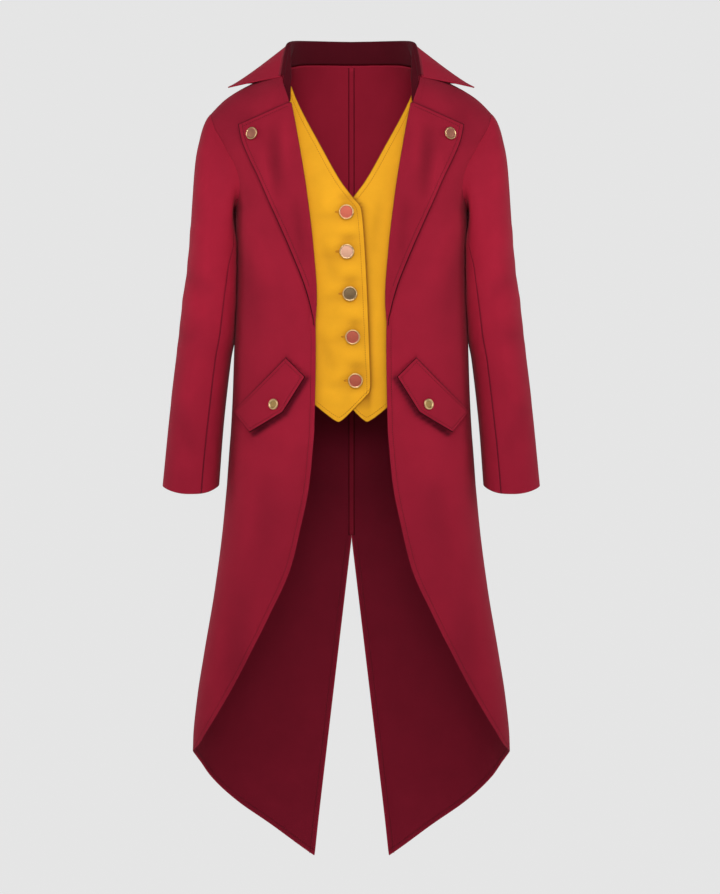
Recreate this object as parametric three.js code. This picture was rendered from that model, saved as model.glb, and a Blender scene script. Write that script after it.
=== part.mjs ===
// A cutaway tailcoat with a mock waistcoat sewn inside its fronts, filled out as when it is worn.
// Millimetres, +Z up. The coat faces -Y, and the wearer's left is +X.
// The origin is the middle of the neck opening, 5 mm under the inner ends of the shoulder seams.
import * as THREE from "three";

// Driving dimensions
const coatWall = 2;
const vestWall = 1.6;
const seamGap = 0.4;
const armholeGap = 1.6;
const underarmZ = -215;
const shoulderLineY = 5; // the shoulder seams and the widest line of the sides lie in this plane
const ringSquareness = 2.3; // 2 is an ellipse, more is squarer
const yokeRoundness = 1.9; // the same measure, for the curve from the chest over the shoulder
const yokeSpread = 62; // how much wider the yoke's virtual ring is at the shoulder than at the underarm
const yokeSpreadPower = 1.3;
const backNeckRise = 85; // lifts the back yoke towards the nape
const neckHalfWidth = 100;
const shoulderPointX = 216;
const sideSeamAngle = 98; // degrees round the half ring, 0 at the front and 180 at the back
const ventTopZ = -732;
const tailTipZ = -1251;
const tailTipX = 61;
const frontHemAngle = 90; // where the cutaway edge ends and the front's short hem begins
const vestCentreX = 2.8; // the vest's fronts mirror each other about this line

// The body of the coat below the underarm: half width, and depth to the front and to the back
const torsoRings = [
  { z: -1260, halfWidth: 251, front: 100, back: 156 },
  { z: -1035, halfWidth: 247, front: 104, back: 146 },
  { z: -970, halfWidth: 240.5, front: 108, back: 142 },
  { z: -900, halfWidth: 229, front: 111, back: 138 },
  { z: -800, halfWidth: 211, front: 115, back: 130 },
  { z: -700, halfWidth: 198, front: 117, back: 122 },
  { z: -600, halfWidth: 190, front: 118, back: 114 },
  { z: -505, halfWidth: 184, front: 118, back: 104 },
  { z: -420, halfWidth: 181, front: 118, back: 98 },
  { z: -300, halfWidth: 178, front: 121, back: 106 },
  { z: -215, halfWidth: 178, front: 121, back: 112 },
];

// The line of the shoulder seam, with its run on to the neck and over the sleeve head
const shoulderLine = [
  { x: 0, z: 14 },
  { x: 60, z: 11 },
  { x: 100, z: 5 },
  { x: 157, z: -20 },
  { x: 191, z: -40 },
  { x: 216, z: -64 },
  { x: 245, z: -100 },
];

// The front edge from the neck down to the waist: the neck, then the roll line of the lapel
const frontEdge = [
  { z: -546, x: 55.5 },
  { z: -491, x: 54 },
  { z: -424, x: 53 },
  { z: -350, x: 54.5 },
  { z: -262, x: 61 },
  { z: -215, x: 66.5 },
  { z: -171, x: 72.5 },
  { z: -93, x: 86 },
  { z: -54, x: 93.6 },
  { z: -46, x: 95 },
  { z: -32, x: 99.5 },
  { z: -22, x: 103 },
  { z: -12, x: 104.5 },
  { z: -3, x: 103.5 },
  { z: 5, x: 100 },
];

// The lower edge: the cutaway of the front, the turn at the side and the hem to the tail's tip
const lowerEdge = [
  { angle: 14.3, z: -546 },
  { angle: 16.2, z: -630 },
  { angle: 19.1, z: -685 },
  { angle: 23.7, z: -759 },
  { angle: 31.1, z: -821 },
  { angle: 37.2, z: -869 },
  { angle: 51.5, z: -963 },
  { angle: 61.4, z: -1006 },
  { angle: 73, z: -1038 },
  { angle: 90, z: -1054 },
  { angle: 106, z: -1078 },
  { angle: 117, z: -1106 },
  { angle: 137, z: -1158 },
  { angle: 152, z: -1197 },
  { angle: 168.8, z: -1251 },
];

// The armhole, from the shoulder point (rise 1) to the underarm (rise 0), before and behind
const armhole = [
  { rise: 0, front: 98, back: 98 },
  { rise: 0.02, front: 88, back: 100.5 },
  { rise: 0.055, front: 78, back: 103.5 },
  { rise: 0.12, front: 69, back: 108.5 },
  { rise: 0.2, front: 64, back: 112 },
  { rise: 0.3, front: 62.6, back: 114 },
  { rise: 0.4, front: 63.6, back: 114.6 },
  { rise: 0.52, front: 66.3, back: 114.9 },
  { rise: 0.74, front: 67.5, back: 114.8 },
  { rise: 1, front: 62.4, back: 117.6 },
];

// The seam of the collar round the back of the neck
const backNeck = [
  { x: 0, z: 16 },
  { x: 25, z: 16 },
  { x: 50, z: 15.5 },
  { x: 75, z: 13.5 },
  { x: 91, z: 9 },
  { x: 100, z: 5 },
];

// The sleeve tube below the underarm: middle, half width across and half depth
const sleeveRings = [
  { z: -637, x: 248, y: -16, across: 43.5, deep: 52 },
  { z: -536, x: 239.5, y: -4, across: 42.5, deep: 58 },
  { z: -443, x: 229, y: 4, across: 42.5, deep: 63 },
  { z: -400, x: 222.5, y: 6, across: 44.5, deep: 65 },
  { z: -350, x: 217, y: 8, across: 43.5, deep: 67 },
  { z: -268, x: 211, y: 11, across: 39.5, deep: 69 },
];
const sleeveInnerSquareness = 3.2; // of the half of the tube that lies against the body
const sleeveClearance = { seam: 0.4, below: 2.2 }; // from the body's side, at the underarm and under it
const cuffDrop = 9; // the cuff is this much longer before and behind than at its sides

// The sleeve's two seams, as angles round the tube: 0 in front, 90 next to the body, 180 behind
const sleeveSeams = [
  { z: -637, fore: 15.5, hind: 158 },
  { z: -500, fore: 19.5, hind: 157 },
  { z: -377, fore: 20, hind: 154 },
  { z: -304, fore: 28, hind: 150 },
  { z: -268, fore: 44, hind: 146 },
  { z: -215, fore: 72, hind: 144 },
];

// The lapel's free edge, from its buttoned point down to the end of the roll
const lapelEdge = [
  { x: 54.2, z: -388 },
  { x: 66.3, z: -337 },
  { x: 88, z: -279 },
  { x: 113, z: -220.4 },
  { x: 136.5, z: -166.5 },
  { x: 151, z: -136.7 },
  { x: 163, z: -108 },
  { x: 168, z: -86 },
];
const lapelTopZ = -54; // where the lapel's top edge meets the roll line
const lapelBottomZ = -388;

// The collar, from the nape (share 0) to its front end (share 1): the top of the fold, the free edge,
// the leaf's bulge and the fold's radius
const collarStations = [
  { share: 0, rollX: 0, rollY: 81, rollZ: 53, edgeX: 0, edgeY: 97, edgeZ: -7, lift: 3, radius: 5 },
  { share: 0.25, rollX: 42, rollY: 73, rollZ: 53, edgeX: 52, edgeY: 92, edgeZ: -8, lift: 3, radius: 5 },
  { share: 0.5, rollX: 77, rollY: 49, rollZ: 51.5, edgeX: 110, edgeY: 68, edgeZ: -12, lift: 5, radius: 5 },
  { share: 0.7, rollX: 93, rollY: 19, rollZ: 46.5, edgeX: 156, edgeY: 37, edgeZ: -15, lift: 8, radius: 4.5 },
  { share: 0.86, rollX: 97.5, rollY: -4, rollZ: 28, edgeX: 181, edgeY: 9, edgeZ: -20, lift: 6, radius: 4 },
  { share: 1, rollX: 103, rollY: -37, rollZ: -8, edgeX: 189, edgeY: -13, edgeZ: -25, lift: 3, radius: 3 },
];
// The front of the collar's seam runs down inside the coat's neck edge, and its end is tucked behind the front
const collarFront = { z: -56, x: 92.4, behind: 3.9, tuck: 5, tuckFrom: 0.84 };

// The waistcoat's front, mirrored to the other side: its V and front edge, and its sewn edge
const vestInnerEdge = [
  { z: -490, x: -25 },
  { z: -480, x: -27 },
  { z: -429, x: -25.5 },
  { z: -350, x: -22.5 },
  { z: -298, x: -20 },
  { z: -252, x: -17 },
  { z: -220, x: -14 },
  { z: -211, x: -12 },
  { z: -196, x: 0 },
  { z: -171.6, x: 18.3 },
  { z: -117, x: 49 },
  { z: -60, x: 79 },
  { z: -36, x: 89.5 },
  { z: -20, x: 95 },
];
const vestSewnEdge = [
  { z: -478, x: 92 },
  { z: -400, x: 94 },
  { z: -300, x: 101 },
  { z: -215, x: 112 },
  { z: -86, x: 136 },
];
const vestHem = [
  { share: 0, z: -490 },
  { share: 0.2, z: -514 },
  { share: 0.365, z: -532 },
  { share: 0.4, z: -534 },
  { share: 0.44, z: -532 },
  { share: 0.58, z: -520.5 },
  { share: 0.7, z: -509 },
  { share: 1, z: -478 },
];
const vestDepth = { over: 6.5, under: 11, sewn: 3.4 }; // below the outer face of the coat

// The pocket flap: its sewn edge and free edge
const flapCorners = {
  sewnLow: { x: 178.5, z: -521 },
  sewnHigh: { x: 97.3, z: -436.5 },
  freeHigh: { x: 66.4, z: -465.5 },
  point: { x: 98.7, z: -519 },
  freeLow: { x: 147, z: -551 },
};
const flapPointShare = 0.45; // the point's place along the free edge, from the low end
const flapWall = 2;
const flapLift = 8; // the free edge stands this much off the coat
const flapSeat = 1.8; // its inner face over the coat at the sewn edge

// Buttons: the radius, the height of the rim and of the cap
const vestButton = { radius: 11.2, rim: 3.6, dish: 2.9 };
const flapButton = { radius: 8.4, rim: 3, dish: 2.2 };
const lapelButton = { radius: 9.6, rim: 3.6, dish: 4.4 };
const vestButtonSpots = [
  { x: -7, z: -218.5 },
  { x: -6.3, z: -277.7 },
  { x: -1.7, z: -341 },
  { x: 2.4, z: -405.8 },
  { x: 6.6, z: -471.4 },
];
const lapelButtonSpot = { x: 146, z: -101 };
const flapButtonSpot = { down: 0.68, along: 0.45 };
const buttonGap = 0.5;
const vestButtonHeight = -5.3; // of a button's back over the outer face of the coat
const lapelButtonHeight = 7;

// How finely each piece is divided
const yokeRows = 10;
const skirtRows = 15;
const bodyColumns = 12;
const sleeveHeadRows = 6;
const sleeveTubeRows = 9;
const buttonSides = 14;

// Materials
const crimson = new THREE.MeshStandardMaterial({ color: 0x9b2134, roughness: 0.85, metalness: 0 });
const golden = new THREE.MeshStandardMaterial({ color: 0xefa825, roughness: 0.6, metalness: 0 });
const brass = new THREE.MeshStandardMaterial({ color: 0xc99a5b, roughness: 0.25, metalness: 1 });

const radians = THREE.MathUtils.degToRad;
const degrees = THREE.MathUtils.radToDeg;
const mix = THREE.MathUtils.lerp;
const clamp = THREE.MathUtils.clamp;

// The smooth value of a table's column where its key column has the value "at". No value overshoots its neighbours.
function lookUp(table, key, column, at) {
  const last = table.length - 1;
  const place = clamp(at, table[0][key], table[last][key]);
  let i = 0;
  while (i < last - 1 && place > table[i + 1][key]) i++;
  const secant = (k) => (table[k + 1][column] - table[k][column]) / (table[k + 1][key] - table[k][key]);
  const slope = (k) => {
    if (k === 0) return secant(0);
    if (k === last) return secant(last - 1);
    const before = secant(k - 1);
    const after = secant(k);
    return before * after <= 0 ? 0 : (2 * before * after) / (before + after);
  };
  const width = table[i + 1][key] - table[i][key];
  const t = (place - table[i][key]) / width;
  const start = table[i][column];
  const end = table[i + 1][column];
  const bend = t * (1 - t);
  const eased = t * t * (3 - 2 * t);
  return mix(start, end, eased) + width * bend * ((1 - t) * slope(i) - t * slope(i + 1));
}

// The body of the coat, as a function of the angle round its left half and of the height.
// Below the underarm the height is z. In the yoke it is the rise, from 0 at the underarm to 1 at the shoulder line.
const signedPower = (value, power) => Math.sign(value) * Math.abs(value) ** power;

function skirtPoint(angle, z) {
  const power = 2 / ringSquareness;
  const turn = radians(angle);
  const forward = signedPower(Math.cos(turn), power);
  const depth = forward > 0 ? lookUp(torsoRings, "z", "front", z) : lookUp(torsoRings, "z", "back", z);
  const reach = forward > 0 ? depth + shoulderLineY : depth - shoulderLineY;
  const x = lookUp(torsoRings, "z", "halfWidth", z) * signedPower(Math.sin(turn), power);
  return new THREE.Vector3(x, shoulderLineY - reach * forward, z);
}

const yokeHalfWidth = (rise) =>
  lookUp(torsoRings, "z", "halfWidth", underarmZ) + yokeSpread * Math.max(rise, 0) ** yokeSpreadPower;

function shoulderZ(x, behind) {
  const line = lookUp(shoulderLine, "x", "z", x);
  const inward = Math.max(0, 1 - (x / neckHalfWidth) ** 2);
  return behind ? line + backNeckRise * inward ** 1.5 : line;
}

function yokePoint(angle, rise) {
  const power = 2 / ringSquareness;
  const turn = radians(angle);
  const low = skirtPoint(angle, underarmZ);
  const x = yokeHalfWidth(rise) * signedPower(Math.sin(turn), power);
  const fullness = Math.max(0, 1 - rise ** yokeRoundness) ** (1 / yokeRoundness);
  const z = underarmZ + rise * (shoulderZ(Math.abs(x), angle > 90) - underarmZ);
  return new THREE.Vector3(x, mix(shoulderLineY, low.y, fullness), z);
}

const bodyPoint = (place) =>
  place.rise === undefined ? skirtPoint(place.angle, place.z) : yokePoint(place.angle, place.rise);

// The place on the body's front or back that is seen at x and z
function placeOf(x, z, behind = false) {
  const share = (halfWidth) => {
    const ratio = clamp(x / halfWidth, -1, 1);
    const front = degrees(Math.asin(signedPower(ratio, ringSquareness / 2)));
    return behind ? 180 - front : front;
  };
  if (z <= underarmZ) return { angle: share(lookUp(torsoRings, "z", "halfWidth", z)), z };
  const rise = clamp((z - underarmZ) / (shoulderZ(Math.abs(x), behind) - underarmZ), 0, 1);
  return { angle: share(yokeHalfWidth(rise)), rise };
}

// The outward direction of the body's cloth, from two short steps along it
function bodyNormal(place) {
  const step = 0.4;
  const moved = (dAngle, dHeight) => {
    const angle = place.angle + dAngle * step;
    if (place.rise === undefined) return skirtPoint(angle, Math.min(place.z + dHeight * step, underarmZ));
    return yokePoint(angle, clamp(place.rise + dHeight * step * 0.01, 0, 0.9999));
  };
  const along = moved(1, 0).sub(moved(-1, 0));
  const up = moved(0, 1).sub(moved(0, -1));
  if (place.rise > 0.995) return new THREE.Vector3(-along.z, 0, along.x).multiplyScalar(Math.sign(along.x)).normalize();
  return along.cross(up).normalize();
}

// Grids of points and the walls made from them
const gridOf = (rows, columns, pointAt) =>
  Array.from({ length: rows + 1 }, (_, r) =>
    Array.from({ length: columns + 1 }, (_, c) => pointAt(r / rows, c / columns, r, c)),
  );

const moveOut = (points, normals, by) =>
  points.map((row, r) => row.map((p, c) => p.clone().addScaledVector(normals[r][c], by)));

// Draws back the named borders of a grid, so that a gap is left at each seam
function drawBack(grid, borders, by) {
  const last = grid.length - 1;
  const end = grid[0].length - 1;
  const towards = (p, q) => q.clone().sub(p).setLength(by);
  const steps = grid.map((row) => row.map(() => new THREE.Vector3()));
  for (let c = 0; c <= end; c++) {
    if (borders.includes("top")) steps[0][c].add(towards(grid[0][c], grid[1][c]));
    if (borders.includes("bottom")) steps[last][c].add(towards(grid[last][c], grid[last - 1][c]));
  }
  for (let r = 0; r <= last; r++) {
    if (borders.includes("first")) steps[r][0].add(towards(grid[r][0], grid[r][1]));
    if (borders.includes("last")) steps[r][end].add(towards(grid[r][end], grid[r][end - 1]));
  }
  return grid.map((row, r) => row.map((p, c) => p.clone().add(steps[r][c])));
}

// A closed wall between an outer and an inner grid, with its four rims
function wallBetween(outer, inner) {
  const rows = outer.length;
  const columns = outer[0].length;
  const positions = [outer, inner].flat(2).flatMap((p) => [p.x, p.y, p.z]);
  const at = (layer, r, c) => (layer * rows + r) * columns + c;
  const faces = [];
  const quad = (a, b, c, d) => faces.push(a, b, c, a, c, d);
  for (let r = 0; r < rows - 1; r++)
    for (let c = 0; c < columns - 1; c++) {
      quad(at(0, r, c), at(0, r, c + 1), at(0, r + 1, c + 1), at(0, r + 1, c));
      quad(at(1, r, c), at(1, r + 1, c), at(1, r + 1, c + 1), at(1, r, c + 1));
    }
  const border = [];
  for (let c = 0; c < columns - 1; c++) border.push([0, c]);
  for (let r = 0; r < rows - 1; r++) border.push([r, columns - 1]);
  for (let c = columns - 1; c > 0; c--) border.push([rows - 1, c]);
  for (let r = rows - 1; r > 0; r--) border.push([r, 0]);
  border.forEach(([r, c], i) => {
    const [nextR, nextC] = border[(i + 1) % border.length];
    quad(at(0, nextR, nextC), at(0, r, c), at(1, r, c), at(1, nextR, nextC));
  });
  const geometry = new THREE.BufferGeometry();
  geometry.setAttribute("position", new THREE.Float32BufferAttribute(positions, 3));
  geometry.setIndex(signedVolume(positions, faces) < 0 ? faces.reverse() : faces);
  geometry.computeVertexNormals();
  return geometry;
}

function signedVolume(positions, faces) {
  const corner = (i) => new THREE.Vector3().fromArray(positions, 3 * faces[i]);
  let sum = 0;
  for (let i = 0; i < faces.length; i += 3) sum += corner(i).dot(corner(i + 1).cross(corner(i + 2)));
  return sum / 6;
}

const mirrored = (grid) => grid.map((row) => row.map((p) => new THREE.Vector3(-p.x, p.y, p.z)));

const coat = new THREE.Group();

function add(name, geometry, material) {
  const mesh = new THREE.Mesh(geometry, material);
  mesh.name = name;
  coat.add(mesh);
  return mesh;
}

// The same wall on the wearer's left and, mirrored, on the right
function addPair(name, outer, inner, material) {
  add(name + "_left", wallBetween(outer, inner), material);
  add(name + "_right", wallBetween(mirrored(outer), mirrored(inner)), material);
}

// The armhole's loop, half before and half behind: row 0 is the shoulder point, the last is the underarm
function armholePlace(row, half) {
  const share = row / yokeRows;
  const rise = (1 - share) ** 0.5 * (1 - share ** 3) ** 0.9;
  return { angle: lookUp(armhole, "rise", half, rise), rise };
}

// Places down the front edge: the yoke's rows by z, then the rows of the cutaway by their distance along it
function frontEdgePlace(row) {
  if (row <= yokeRows) {
    const share = row / yokeRows;
    const z = mix(shoulderZ(neckHalfWidth, false), underarmZ, share ** 1.25);
    return placeOf(lookUp(frontEdge, "z", "x", z), z);
  }
  const share = (row - yokeRows) / skirtRows;
  const upperShare = 0.38;
  if (share <= upperShare) {
    const z = mix(underarmZ, lowerEdge[0].z, share / upperShare);
    return placeOf(lookUp(frontEdge, "z", "x", z), z);
  }
  const along = (share - upperShare) / (1 - upperShare);
  const angle = mix(lowerEdge[0].angle, frontHemAngle, along ** 1.7);
  return { angle, z: lookUp(lowerEdge, "angle", "z", angle) };
}

// Places down the side seam, shared by the front and the back
function sideSeamPlace(row) {
  const bottom = lookUp(lowerEdge, "angle", "z", sideSeamAngle);
  return { angle: sideSeamAngle, z: mix(underarmZ, bottom, (row - yokeRows) / skirtRows) };
}

// The front: rows run from the front edge to the armhole or the side seam
function frontPlace(row, across) {
  const start = frontEdgePlace(row);
  if (row < yokeRows) {
    const end = armholePlace(row, "front");
    return { angle: mix(start.angle, end.angle, across), rise: mix(start.rise, end.rise, across) };
  }
  const end = sideSeamPlace(row);
  const startZ = start.z === undefined ? underarmZ : start.z;
  const angle = mix(start.angle, end.angle, across);
  const straight = mix(startZ, end.z, across);
  const hem = lookUp(lowerEdge, "angle", "z", angle);
  const near = clamp((row - yokeRows) / skirtRows, 0, 1) ** 8;
  return { angle, z: mix(straight, Math.max(hem, straight - 40), near) };
}

// The middle of the back: straight to the vent's top, then out to the tail's tip
function backEdgePlace(row) {
  if (row < yokeRows) return { angle: 180 };
  const z = mix(underarmZ, tailTipZ, (row - yokeRows) / skirtRows);
  const x = (tailTipX * Math.max(0, ventTopZ - z)) / (ventTopZ - tailTipZ);
  return placeOf(x, z, true);
}

const neckColumns = 5;

// The back's top border: the neck seam, then the shoulder seam
function backTopPlace(column) {
  if (column <= neckColumns) {
    const x = neckHalfWidth * (column / neckColumns) ** 0.9;
    return placeOf(x, lookUp(backNeck, "x", "z", x), true);
  }
  const end = placeOf(neckHalfWidth, shoulderZ(neckHalfWidth, true), true).angle;
  const share = (column - neckColumns) / (bodyColumns - neckColumns);
  return { angle: mix(end, armhole[armhole.length - 1].back, share), rise: 1 };
}

function backPlace(row, column) {
  const across = column / bodyColumns;
  if (row < yokeRows) {
    const top = backTopPlace(column);
    const arm = armholePlace(row, "back");
    const low = mix(180, sideSeamAngle, across);
    const share = row / yokeRows;
    const rise = top.rise * mix(1 - share ** 1.25, arm.rise, across ** 3);
    const straight = mix(top.angle, low, share);
    const armShift = arm.angle - mix(armhole[armhole.length - 1].back, sideSeamAngle, share);
    return { angle: straight + armShift * across ** 2, rise };
  }
  const start = backEdgePlace(row);
  const end = sideSeamPlace(row);
  const angle = mix(start.angle, end.angle, across);
  const straight = mix(start.z, end.z, across);
  const hem = lookUp(lowerEdge, "angle", "z", angle);
  const near = ((row - yokeRows) / skirtRows) ** (6 + 60 * (1 - across) ** 8); // the vent's edge stays straight
  return { angle, z: mix(straight, hem, near) };
}

// The sleeve. Its columns follow the armhole's loop from the shoulder point, before, under and behind.
const loopColumns = 2 * yokeRows;
const foreSeamColumn = yokeRows - 1;
const hindSeamColumn = yokeRows + 3;

function loopPlace(column) {
  if (column < 0) return armholePlace(-column, "back");
  if (column <= yokeRows) return armholePlace(column, "front");
  return armholePlace(loopColumns - column, "back");
}

const headBottomZ = sleeveRings[sleeveRings.length - 1].z;
const cuffZ = sleeveRings[0].z;

// The angle round the tube of a column at a height: the two seams lie where their table says
function tubeAngle(column, z) {
  const plain = (c) => -90 + (360 * c) / loopColumns;
  const fore = lookUp(sleeveSeams, "z", "fore", z);
  const hind = lookUp(sleeveSeams, "z", "hind", z);
  if (column < foreSeamColumn)
    return mix(hind - 360, fore, (plain(column) + 360 - plain(hindSeamColumn)) / (plain(foreSeamColumn) + 360 - plain(hindSeamColumn)));
  if (column <= hindSeamColumn)
    return mix(fore, hind, (column - foreSeamColumn) / (hindSeamColumn - foreSeamColumn));
  return mix(hind, fore + 360, (plain(column) - plain(hindSeamColumn)) / (plain(foreSeamColumn) + 360 - plain(hindSeamColumn)));
}

function tubePoint(column, z) {
  const turn = radians(tubeAngle(column, z));
  const of = (name) => lookUp(sleeveRings, "z", name, z);
  const inner = Math.sin(turn) > 0;
  const power = inner ? 2 / sleeveInnerSquareness : 1;
  const nearCuff = clamp((cuffZ + 40 - z) / 40, 0, 1);
  return new THREE.Vector3(
    of("x") - of("across") * signedPower(Math.sin(turn), power),
    of("y") - of("deep") * signedPower(Math.cos(turn), power),
    z - cuffDrop * nearCuff * Math.cos(turn) ** 2,
  );
}

// Keeps a point of the sleeve off the body's side
function clearOfBody(point) {
  if (point.z > underarmZ) return point;
  const side = point.y < shoulderLineY ? "front" : "back";
  const depth = lookUp(torsoRings, "z", side, point.z);
  const reach = side === "front" ? depth + shoulderLineY : depth - shoulderLineY;
  const share = Math.min(1, Math.abs(point.y - shoulderLineY) / reach);
  const bodyX = lookUp(torsoRings, "z", "halfWidth", point.z) * (1 - share ** ringSquareness) ** (1 / ringSquareness);
  const gap = mix(sleeveClearance.seam, sleeveClearance.below, clamp((underarmZ - point.z) / 22, 0, 1));
  point.x = Math.max(point.x, bodyX + gap);
  return point;
}

// The way the sleeve's cloth leaves the armhole: down the shoulder's slope above, and straight out below
function headDirection(column) {
  const turn = radians(-90 + (360 * column) / loopColumns);
  const above = (1 - Math.sin(turn)) / 2;
  return new THREE.Vector3(1, -0.3 * Math.cos(turn), -0.9 * above + 0.1).normalize();
}

function sleevePoint(along, column) {
  const headShare = sleeveHeadRows / (sleeveHeadRows + sleeveTubeRows);
  if (along >= headShare) {
    const share = (along - headShare) / (1 - headShare);
    return clearOfBody(tubePoint(column, mix(headBottomZ, cuffZ, share)));
  }
  const t = along / headShare;
  const start = bodyPoint(loopPlace(column));
  const end = tubePoint(column, headBottomZ);
  const reach = start.distanceTo(end);
  const leave = headDirection(column).multiplyScalar(Math.min(0.54 * reach, 112));
  const arrive = new THREE.Vector3(0.1, 0, -1).multiplyScalar(0.7 * reach);
  const point = start.multiplyScalar((1 + 2 * t) * (1 - t) ** 2);
  point.addScaledVector(leave, t * (1 - t) ** 2);
  point.addScaledVector(end, t * t * (3 - 2 * t));
  return clearOfBody(point.addScaledVector(arrive, t * t * (t - 1)));
}

function sleeveNormal(along, column) {
  const step = 0.01;
  const low = Math.min(along + step, 1);
  const high = Math.max(along - step, 0);
  const down = sleevePoint(low, column).sub(sleevePoint(high, column));
  const wrapped = (c) => sleevePoint(along, (c + loopColumns) % loopColumns);
  const round = wrapped(column + 0.2).sub(wrapped(column - 0.2));
  return round.cross(down).normalize();
}

// The outward normals of a grid, from its neighbouring points
function gridNormals(grid) {
  const last = grid.length - 1;
  const end = grid[0].length - 1;
  return grid.map((row, r) =>
    row.map((_, c) => {
      const down = grid[Math.min(r + 1, last)][c].clone().sub(grid[Math.max(r - 1, 0)][c]);
      const across = row[Math.min(c + 1, end)].clone().sub(row[Math.max(c - 1, 0)]);
      return down.cross(across).normalize();
    }),
  );
}

const thicken = (grid, normals, wall) => [moveOut(grid, normals, wall / 2), moveOut(grid, normals, -wall / 2)];

// Fronts and backs, whose outer faces are the body's surface
function addBodyPanel(name, rows, placeAt, borders) {
  const places = gridOf(rows, bodyColumns, (_, across, r, c) => placeAt(r, across, c));
  const outer = places.map((row) => row.map(bodyPoint));
  const normals = places.map((row) => row.map(bodyNormal));
  const trimmedOuter = drawBack(outer, borders, seamGap / 2);
  const trimmedInner = drawBack(moveOut(outer, normals, -coatWall), borders, seamGap / 2);
  addPair(name, trimmedOuter, trimmedInner, crimson);
}

const panelRows = yokeRows + skirtRows;
addBodyPanel("front", panelRows, (row, across) => frontPlace(row, across), ["top", "last"]);
addBodyPanel("back", panelRows, (row, across, column) => backPlace(row, column), ["top", "first", "last"]);

// Sleeves: the top sleeve outside and the under sleeve next to the body
function addSleevePiece(name, fromColumn, toColumn, perColumn) {
  const rows = sleeveHeadRows + sleeveTubeRows;
  const columns = (toColumn - fromColumn) * perColumn;
  const columnAt = (c) => fromColumn + c / perColumn;
  const outer = gridOf(rows, columns, (along, _, r, c) => sleevePoint(along, columnAt(c)));
  const normals = gridOf(rows, columns, (along, _, r, c) => sleeveNormal(along, columnAt(c)));
  const trim = (grid) => drawBack(drawBack(grid, ["top"], armholeGap / 2), ["first", "last"], seamGap / 2);
  addPair(name, trim(outer), trim(moveOut(outer, normals, -coatWall)), crimson);
}

addSleevePiece("top_sleeve", hindSeamColumn - loopColumns, foreSeamColumn, 1);
addSleevePiece("under_sleeve", foreSeamColumn, hindSeamColumn, 3);

// The collar: a stand from the neck seam up to the fold, and a leaf from the fold down to the free edge
const collarRows = 26;
const standColumns = 4;
const foldColumns = 4;
const leafColumns = 6;

function neckSeamPoint(share) {
  const backShare = 0.62;
  if (share <= backShare) {
    const x = neckHalfWidth * Math.sin((Math.PI / 2) * (share / backShare));
    return bodyPoint(placeOf(x, lookUp(backNeck, "x", "z", x), true));
  }
  const along = (share - backShare) / (1 - backShare);
  const early = clamp(3 * along, 0, 1);
  const eased = early ** 2 * (3 - 2 * early);
  const z = mix(shoulderZ(neckHalfWidth, false), collarFront.z, along);
  const tuck = collarFront.tuck * clamp((along - collarFront.tuckFrom) / (1 - collarFront.tuckFrom), 0, 1);
  const place = placeOf(mix(neckHalfWidth, collarFront.x, eased) + tuck, z);
  return bodyPoint(place).addScaledVector(bodyNormal(place), -collarFront.behind * eased);
}

function collarPoint(share, column) {
  const side = Math.sign(share) || 1;
  const at = Math.abs(share);
  const of = (name) => lookUp(collarStations, "share", name, at);
  const seam = neckSeamPoint(at);
  const outward = new THREE.Vector3(seam.x, seam.y - shoulderLineY, 0).normalize();
  const raised = at < 0.62 ? 1 : Math.max(0, 1 - (at - 0.62) / 0.15);
  seam.addScaledVector(outward, -1.2 * raised).setZ(seam.z + 1.4 * raised);
  const top = new THREE.Vector3(of("rollX"), of("rollY"), of("rollZ"));
  const edge = new THREE.Vector3(of("edgeX"), of("edgeY"), of("edgeZ"));
  const radius = of("radius");
  const away = edge.clone().sub(seam).setZ(0).normalize();
  const centre = top.clone().addScaledVector(away, radius).setZ(top.z - radius);
  let point;
  if (column <= standColumns) {
    const end = centre.clone().addScaledVector(away, -radius);
    point = seam.lerp(end, column / standColumns);
  } else if (column <= standColumns + foldColumns) {
    const turn = Math.PI * (1 - (column - standColumns) / foldColumns);
    point = centre.clone().addScaledVector(away, radius * Math.cos(turn));
    point.z += radius * Math.sin(turn);
  } else {
    const t = (column - standColumns - foldColumns) / leafColumns;
    const start = centre.clone().addScaledVector(away, radius);
    point = start.lerp(edge, t).addScaledVector(away, of("lift") * Math.sin(Math.PI * t));
  }
  return new THREE.Vector3(point.x * side, point.y, point.z);
}

const collarGrid = gridOf(collarRows, standColumns + foldColumns + leafColumns, (along, _, r, c) =>
  collarPoint(2 * along - 1, c),
);
add("collar", wallBetween(...thicken(collarGrid, gridNormals(collarGrid), coatWall)), crimson);

// The lapels, turned back from the front edge and buttoned flat
const lapelRows = 14;
const rollColumns = 4;
const lapelLeafColumns = 6;
const lapelWall = 1.8;
const lapelHeight = 3.7; // of the leaf's middle over the coat
const lapelEdgeLift = 2.6;

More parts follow.
